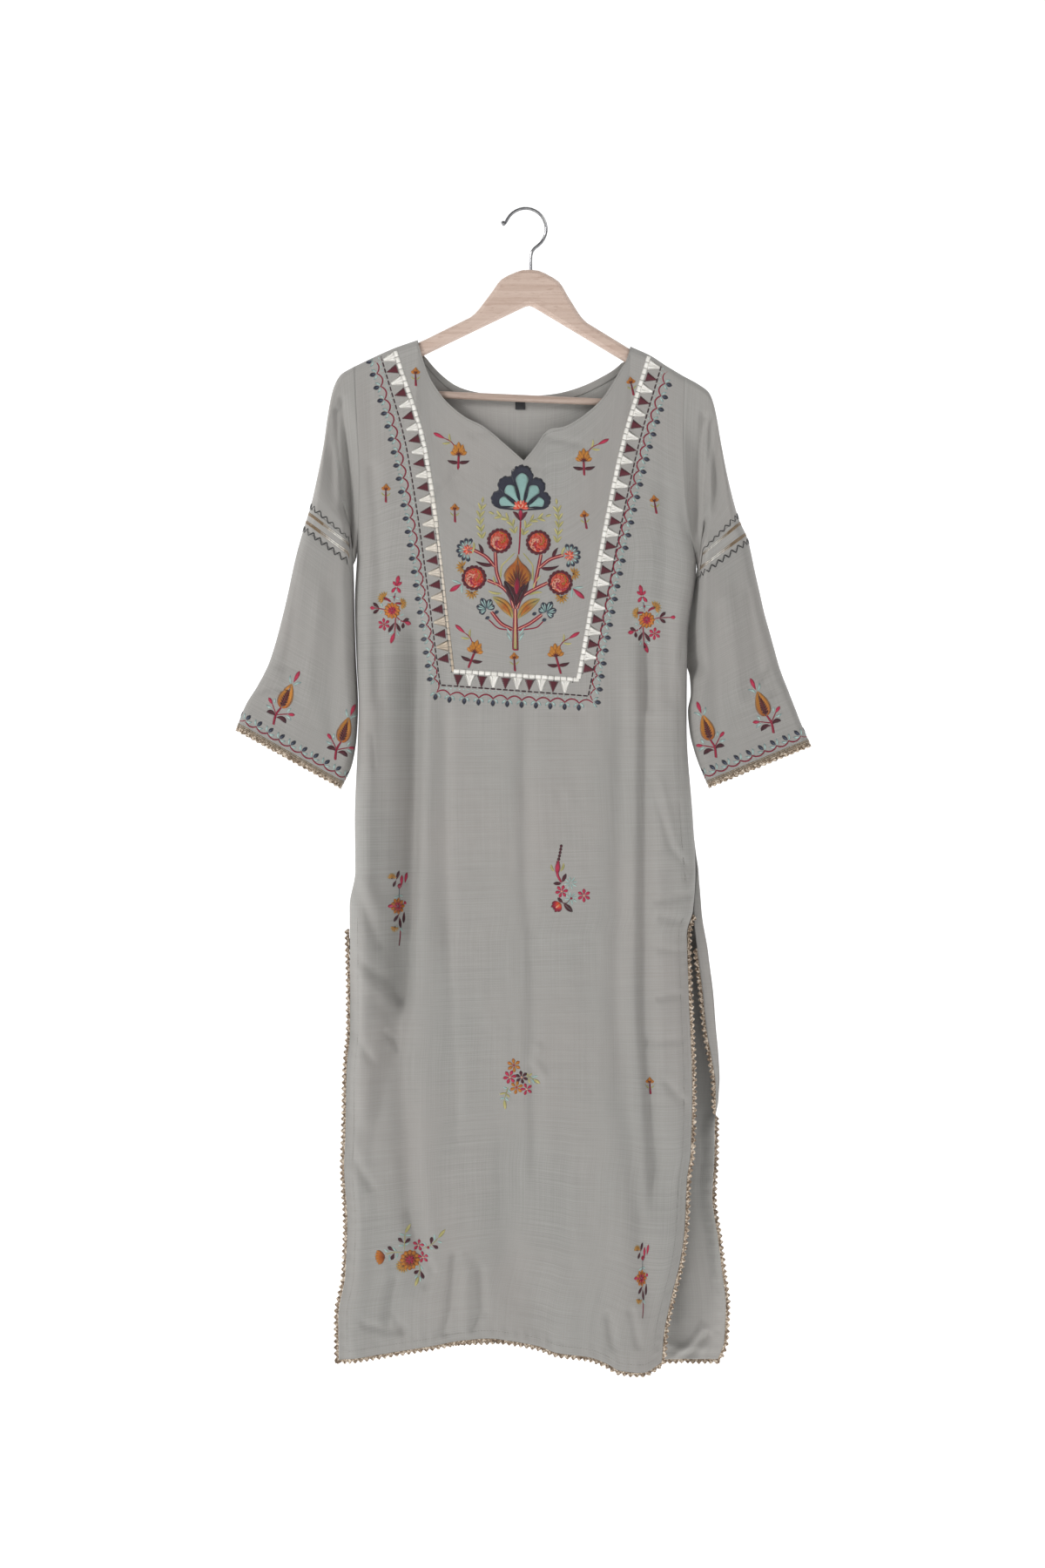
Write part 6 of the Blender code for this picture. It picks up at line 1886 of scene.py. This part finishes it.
def seam_stitches(work):
    """Stitching beside the neckline, over the hem and slit turnings and down one side."""
    low = NECK_CORNERS[1]
    for points in ([p for p in FRONT_NECK[1:] if p[0] <= low],
                   [p for p in FRONT_NECK[:-1] if p[0] >= low]):
        p = curve(points, 1.0)
        run_stitches(work, (p - sideways(p) * 2.2)[3:-3:6])
    run_stitches(work, [(x, line(FRONT_HEM)(x) + 9.0) for x in np.arange(-203.0, 148.0, 12.0)])
    for edge, inward, end in ((FRONT_LEFT, 9.5, -1304.0), (FRONT_RIGHT, -9.5, -1310.0)):
        run_stitches(work, [(line(edge)(z) + inward, z) for z in np.arange(-812.0, end, -14.0)])
    run_stitches(work, BACKSTITCHED)


# ---- the garment ---------------------------------------------------------------------
ROW_STEP = 3.5             # most millimetres between rows of a mesh
COLUMN_STEP = 1 / 7        # and the share of a table column between its columns
HEM_STEPS = 20
ROLL_STEPS = 9


def panel_rows(panel):
    """Rows of a panel's mesh: evenly between its table rows, and closer at the hem."""
    rows = [0.0]
    for i, gap in enumerate(np.diff(panel.drops[0])):
        count = max(1, math.ceil(abs(gap) / ROW_STEP))
        rows += [i + (k + 1) / count for k in range(count)]
    last = panel.last_row - 1
    rows = np.array(rows)
    return np.concatenate([rows[rows <= last], last + np.linspace(0.0, 1.0, HEM_STEPS + 1)[1:]])


def panel_columns(panel):
    """Columns of a panel's mesh, closer where its edges turn back."""
    last, roll = panel.last_column, panel.roll
    side = np.linspace(0.0, roll, ROLL_STEPS + 1)
    flat = np.arange(roll + COLUMN_STEP, last - roll - COLUMN_STEP / 2, COLUMN_STEP)
    return np.concatenate([side, flat, last - side[::-1]])


FACING_DROPS = (0.5, 9.5)
FACING_COLUMNS = (7.5, 14.5)
FACING_BEHIND = 0.95
LABEL_WIDTH = (-12.2, -1.0)
LABEL_TOP, LABEL_FOLD = -214.0, -227.6


def back_facing(panel):
    """The strip turned in behind the neckline at the back."""
    rows = np.interp(np.linspace(*FACING_DROPS, 10), panel.drops[0], np.arange(panel.last_row + 1))
    p = panel.points(rows, np.linspace(*FACING_COLUMNS, 120))
    p[..., 1] -= FACING_BEHIND
    return grid_piece("back_facing", p, CLOTH, wall=0.6)


def size_label(ground):
    """A small folded tab of black satin, hanging from the facing, with nothing on it."""
    fold = np.linspace(0.0, math.pi, 7)[1:-1]
    leg = np.linspace(LABEL_TOP, LABEL_FOLD, 6)
    down = np.concatenate([leg, LABEL_FOLD - 0.3 - 0.4 * np.sin(fold), leg[::-1]])
    out = np.concatenate([np.full(6, 1.0), 0.6 + 0.4 * np.cos(fold), np.full(6, 0.2)])
    x, z = np.meshgrid(np.linspace(*LABEL_WIDTH, 7), down)
    p, _normals = ground.seat(np.stack([x.ravel(), z.ravel()], axis=1))
    p = p.reshape(*x.shape, 3)
    p[..., 1] -= 0.9 + out[:, None]
    return grid_piece("size_label", p, LABEL, wall=0.3)


CLOTH = cloth_finish("sage weave", 1.0, 0.0)
# painted light: the inside of the back is a lighter copy of the cloth, for the shaded neck opening
# and slits
INSIDE_CLOTH_PAINTED_LIGHT = cloth_finish("sage weave, inside, painted light", 1.14, 1.0)
# painted shade: the lower sleeves take a darker copy of the cloth, for how they hang away from the
# light
LOWER_SLEEVE_CLOTH_SHADED = cloth_finish("sage weave, lower sleeves, painted shade", 0.92, 2.0)
GOLD = gold_finish()
WOOD = wood_finish("lacquered beech", 1.0)
BAR_WOOD = wood_finish("lacquered beech, bar", 0.8)
STEEL = steel_finish()
LABEL = label_finish()
THREAD = thread_finish()
GOTA = gota_finish()
room()

front = Panel(-1, FRONT_NECK, FRONT_HEM, FRONT_FOLDS, FRONT_CREASES, FRONT_DEPTH,
              (FRONT_LEFT, FRONT_RIGHT), None, 11)
back = Panel(1, BACK_NECK, BACK_HEM, BACK_FOLDS, BACK_CREASES, BACK_DEPTH,
             (FRONT_LEFT[:BACK_LEFT_JOIN] + BACK_LEFT, FRONT_RIGHT[:BACK_RIGHT_JOIN] + BACK_RIGHT),
             BACK_RIGHT_BELLY, 23)
front_grid = front.points(panel_rows(front), panel_columns(front))
back_grid = back.points(panel_rows(back), panel_columns(back))
front_panel = grid_piece("front_panel", front_grid, CLOTH)
back_panel = grid_piece("back_panel", back_grid, CLOTH)
# the inner shell takes the lighter copy, painted light
back_panel.data.materials.append(INSIDE_CLOTH_PAINTED_LIGHT)        # what shows at the neck and in the slit
back_panel.modifiers["wall"].material_offset = 1
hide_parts("front_chest", "front_waist", "front_skirt")
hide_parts("back_chest", "back_waist", "back_skirt")

yoke_face = Face(front_panel)
yoke, ribbon = Stitching(yoke_face, 1), Stitching(yoke_face, 2)
yoke_border(yoke, ribbon)
centre = Stitching(yoke_face, 3)
flower_tree(centre)
sprigs = Stitching(yoke_face, 4)
sprig(sprigs, -77, -276.5)
sprig(sprigs, 66, -283.5, 0, -1)
sprig(sprigs, -57.4, -503, -14, 1, ((0, -6), (-2.6, -25)))
sprig(sprigs, 33.7, -507, -4, -1, ((0, -6), (-4.4, -27)))
for x, z, turned in ((-13.5, -513, 0), (-81.4, -342.8, -2), (66.6, -350.5, 6),
                     (-160, -320, -4), (146.5, -333, 6), (-126.5, -186, -2),
                     (120, -197, 8)):
    butti(sprigs, x, z, turned)
side_bouquet(sprigs, -153, -460.9, 1, False)
side_bouquet(sprigs, 137.8, -471.6, -1, True)
skirt = Stitching(yoke_face, 5)
drooping_sprig(skirt)
middle_sprig(skirt)
hem_bouquet(skirt)
pinched_sprig(skirt, -147, -797, 0.8)
pinched_sprig(skirt, 132, -1222, 0.62)
butti(skirt, 141.6, -998, 0, 0.9)
seams = Stitching(yoke_face, 6)
seam_stitches(seams)
front_thread = [work.finish(name, THREAD) for work, name in (
    (seams, "seam_stitches"), (yoke, "yoke_border_thread"), (centre, "yoke_tree_thread"),
    (sprigs, "yoke_sprigs_thread"), (skirt, "skirt_sprigs_thread"))]
front_thread.append(ribbon.finish("yoke_ribbon", GOTA))
facing, label = back_facing(back), size_label(Face(back_panel))
for piece, node, slot in ((facing, "neck_facing", "cloth"), (label, "neck_label", "label")):
    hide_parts(node)

SLEEVE_CUTS = {            # flat width, flat length and flat area, in metres
    "left": ((0.28, 0.176, 0.0262), (0.195, 0.025, 0.00480), (0.34, 0.235, 0.0610)),
    "right": ((0.28, 0.180, 0.0270), (0.195, 0.030, 0.00550), (0.34, 0.225, 0.0570)),
}
for side, table, band, outward in (("left", SLEEVE_LEFT, BAND_LEFT, -1.0),
                                   ("right", SLEEVE_RIGHT, BAND_RIGHT, 1.0)):
    sleeve = Sleeve(side, table, outward, front, back)
    end = table[-1][0]
    reaches = (("upper", 0.0, band[0]), ("band", band[0], band[1]), ("lower", band[1], end))
    pieces = {}
    for part, start, stop in reaches:
        downs = np.linspace(start, stop, max(3, math.ceil((stop - start) / ROW_STEP) + 1))
        # the lower sleeve takes the darker copy, painted shade
        piece = grid_piece(f"{part}_sleeve_{side}", sleeve.points(downs),
                           LOWER_SLEEVE_CLOTH_SHADED if part == "lower" else CLOTH, closed=True)
        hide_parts(f"sleeve_{part}_{side}")
        "band" if part == "band" else "cloth"
        pieces[part] = piece
    trims = sleeve_trim(side, sleeve, band)
    cuff_face = Face(pieces["lower"])
    motifs = Stitching(cuff_face, 7)
    if side == "left":
        cuff_flower(motifs, -279.7, -571.6, 0, 1)
        cuff_flower(motifs, -211.4, -611, 6.7, 1)
    else:
        cuff_flower(motifs, 210.7, -608.5, 7.5, -1)
        cuff_flower(motifs, 275, -580.8, 3.2, -1)
    cuff_thread = motifs.finish(f"cuff_flowers_{side}", THREAD)
    carried = {"upper": [], "band": trims[:2], "lower": [*trims[2:], cuff_thread]}
    lace = strung(f"cuff_edging_{side}", cuff_run(sleeve), lace_template(CUFF_HEADING), GOLD)
    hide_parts(f"cuff_lace_{side}")
    carried["lower"].append(lace)
    for (part, piece), (width, length, area) in zip(pieces.items(), SLEEVE_CUTS[side]):
        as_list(carried[part])

for name, panel, piece, width, area, carried in (
        ("front", front, front_panel, 0.46, 0.475, front_thread),
        ("back", back, back_panel, 0.48, 0.500, [facing, label])):
    lace = strung(f"{name}_edging", edge_run(panel), lace_template(EDGE_HEADING), GOLD)
    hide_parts(f"{name}_lace")
    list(carried)

for name, material in (("hanger_wood", WOOD), ("hanger_bar", BAR_WOOD), ("hanger_hook", STEEL)):
    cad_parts[name].data.materials.clear()
    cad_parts[name].data.materials.append(material)
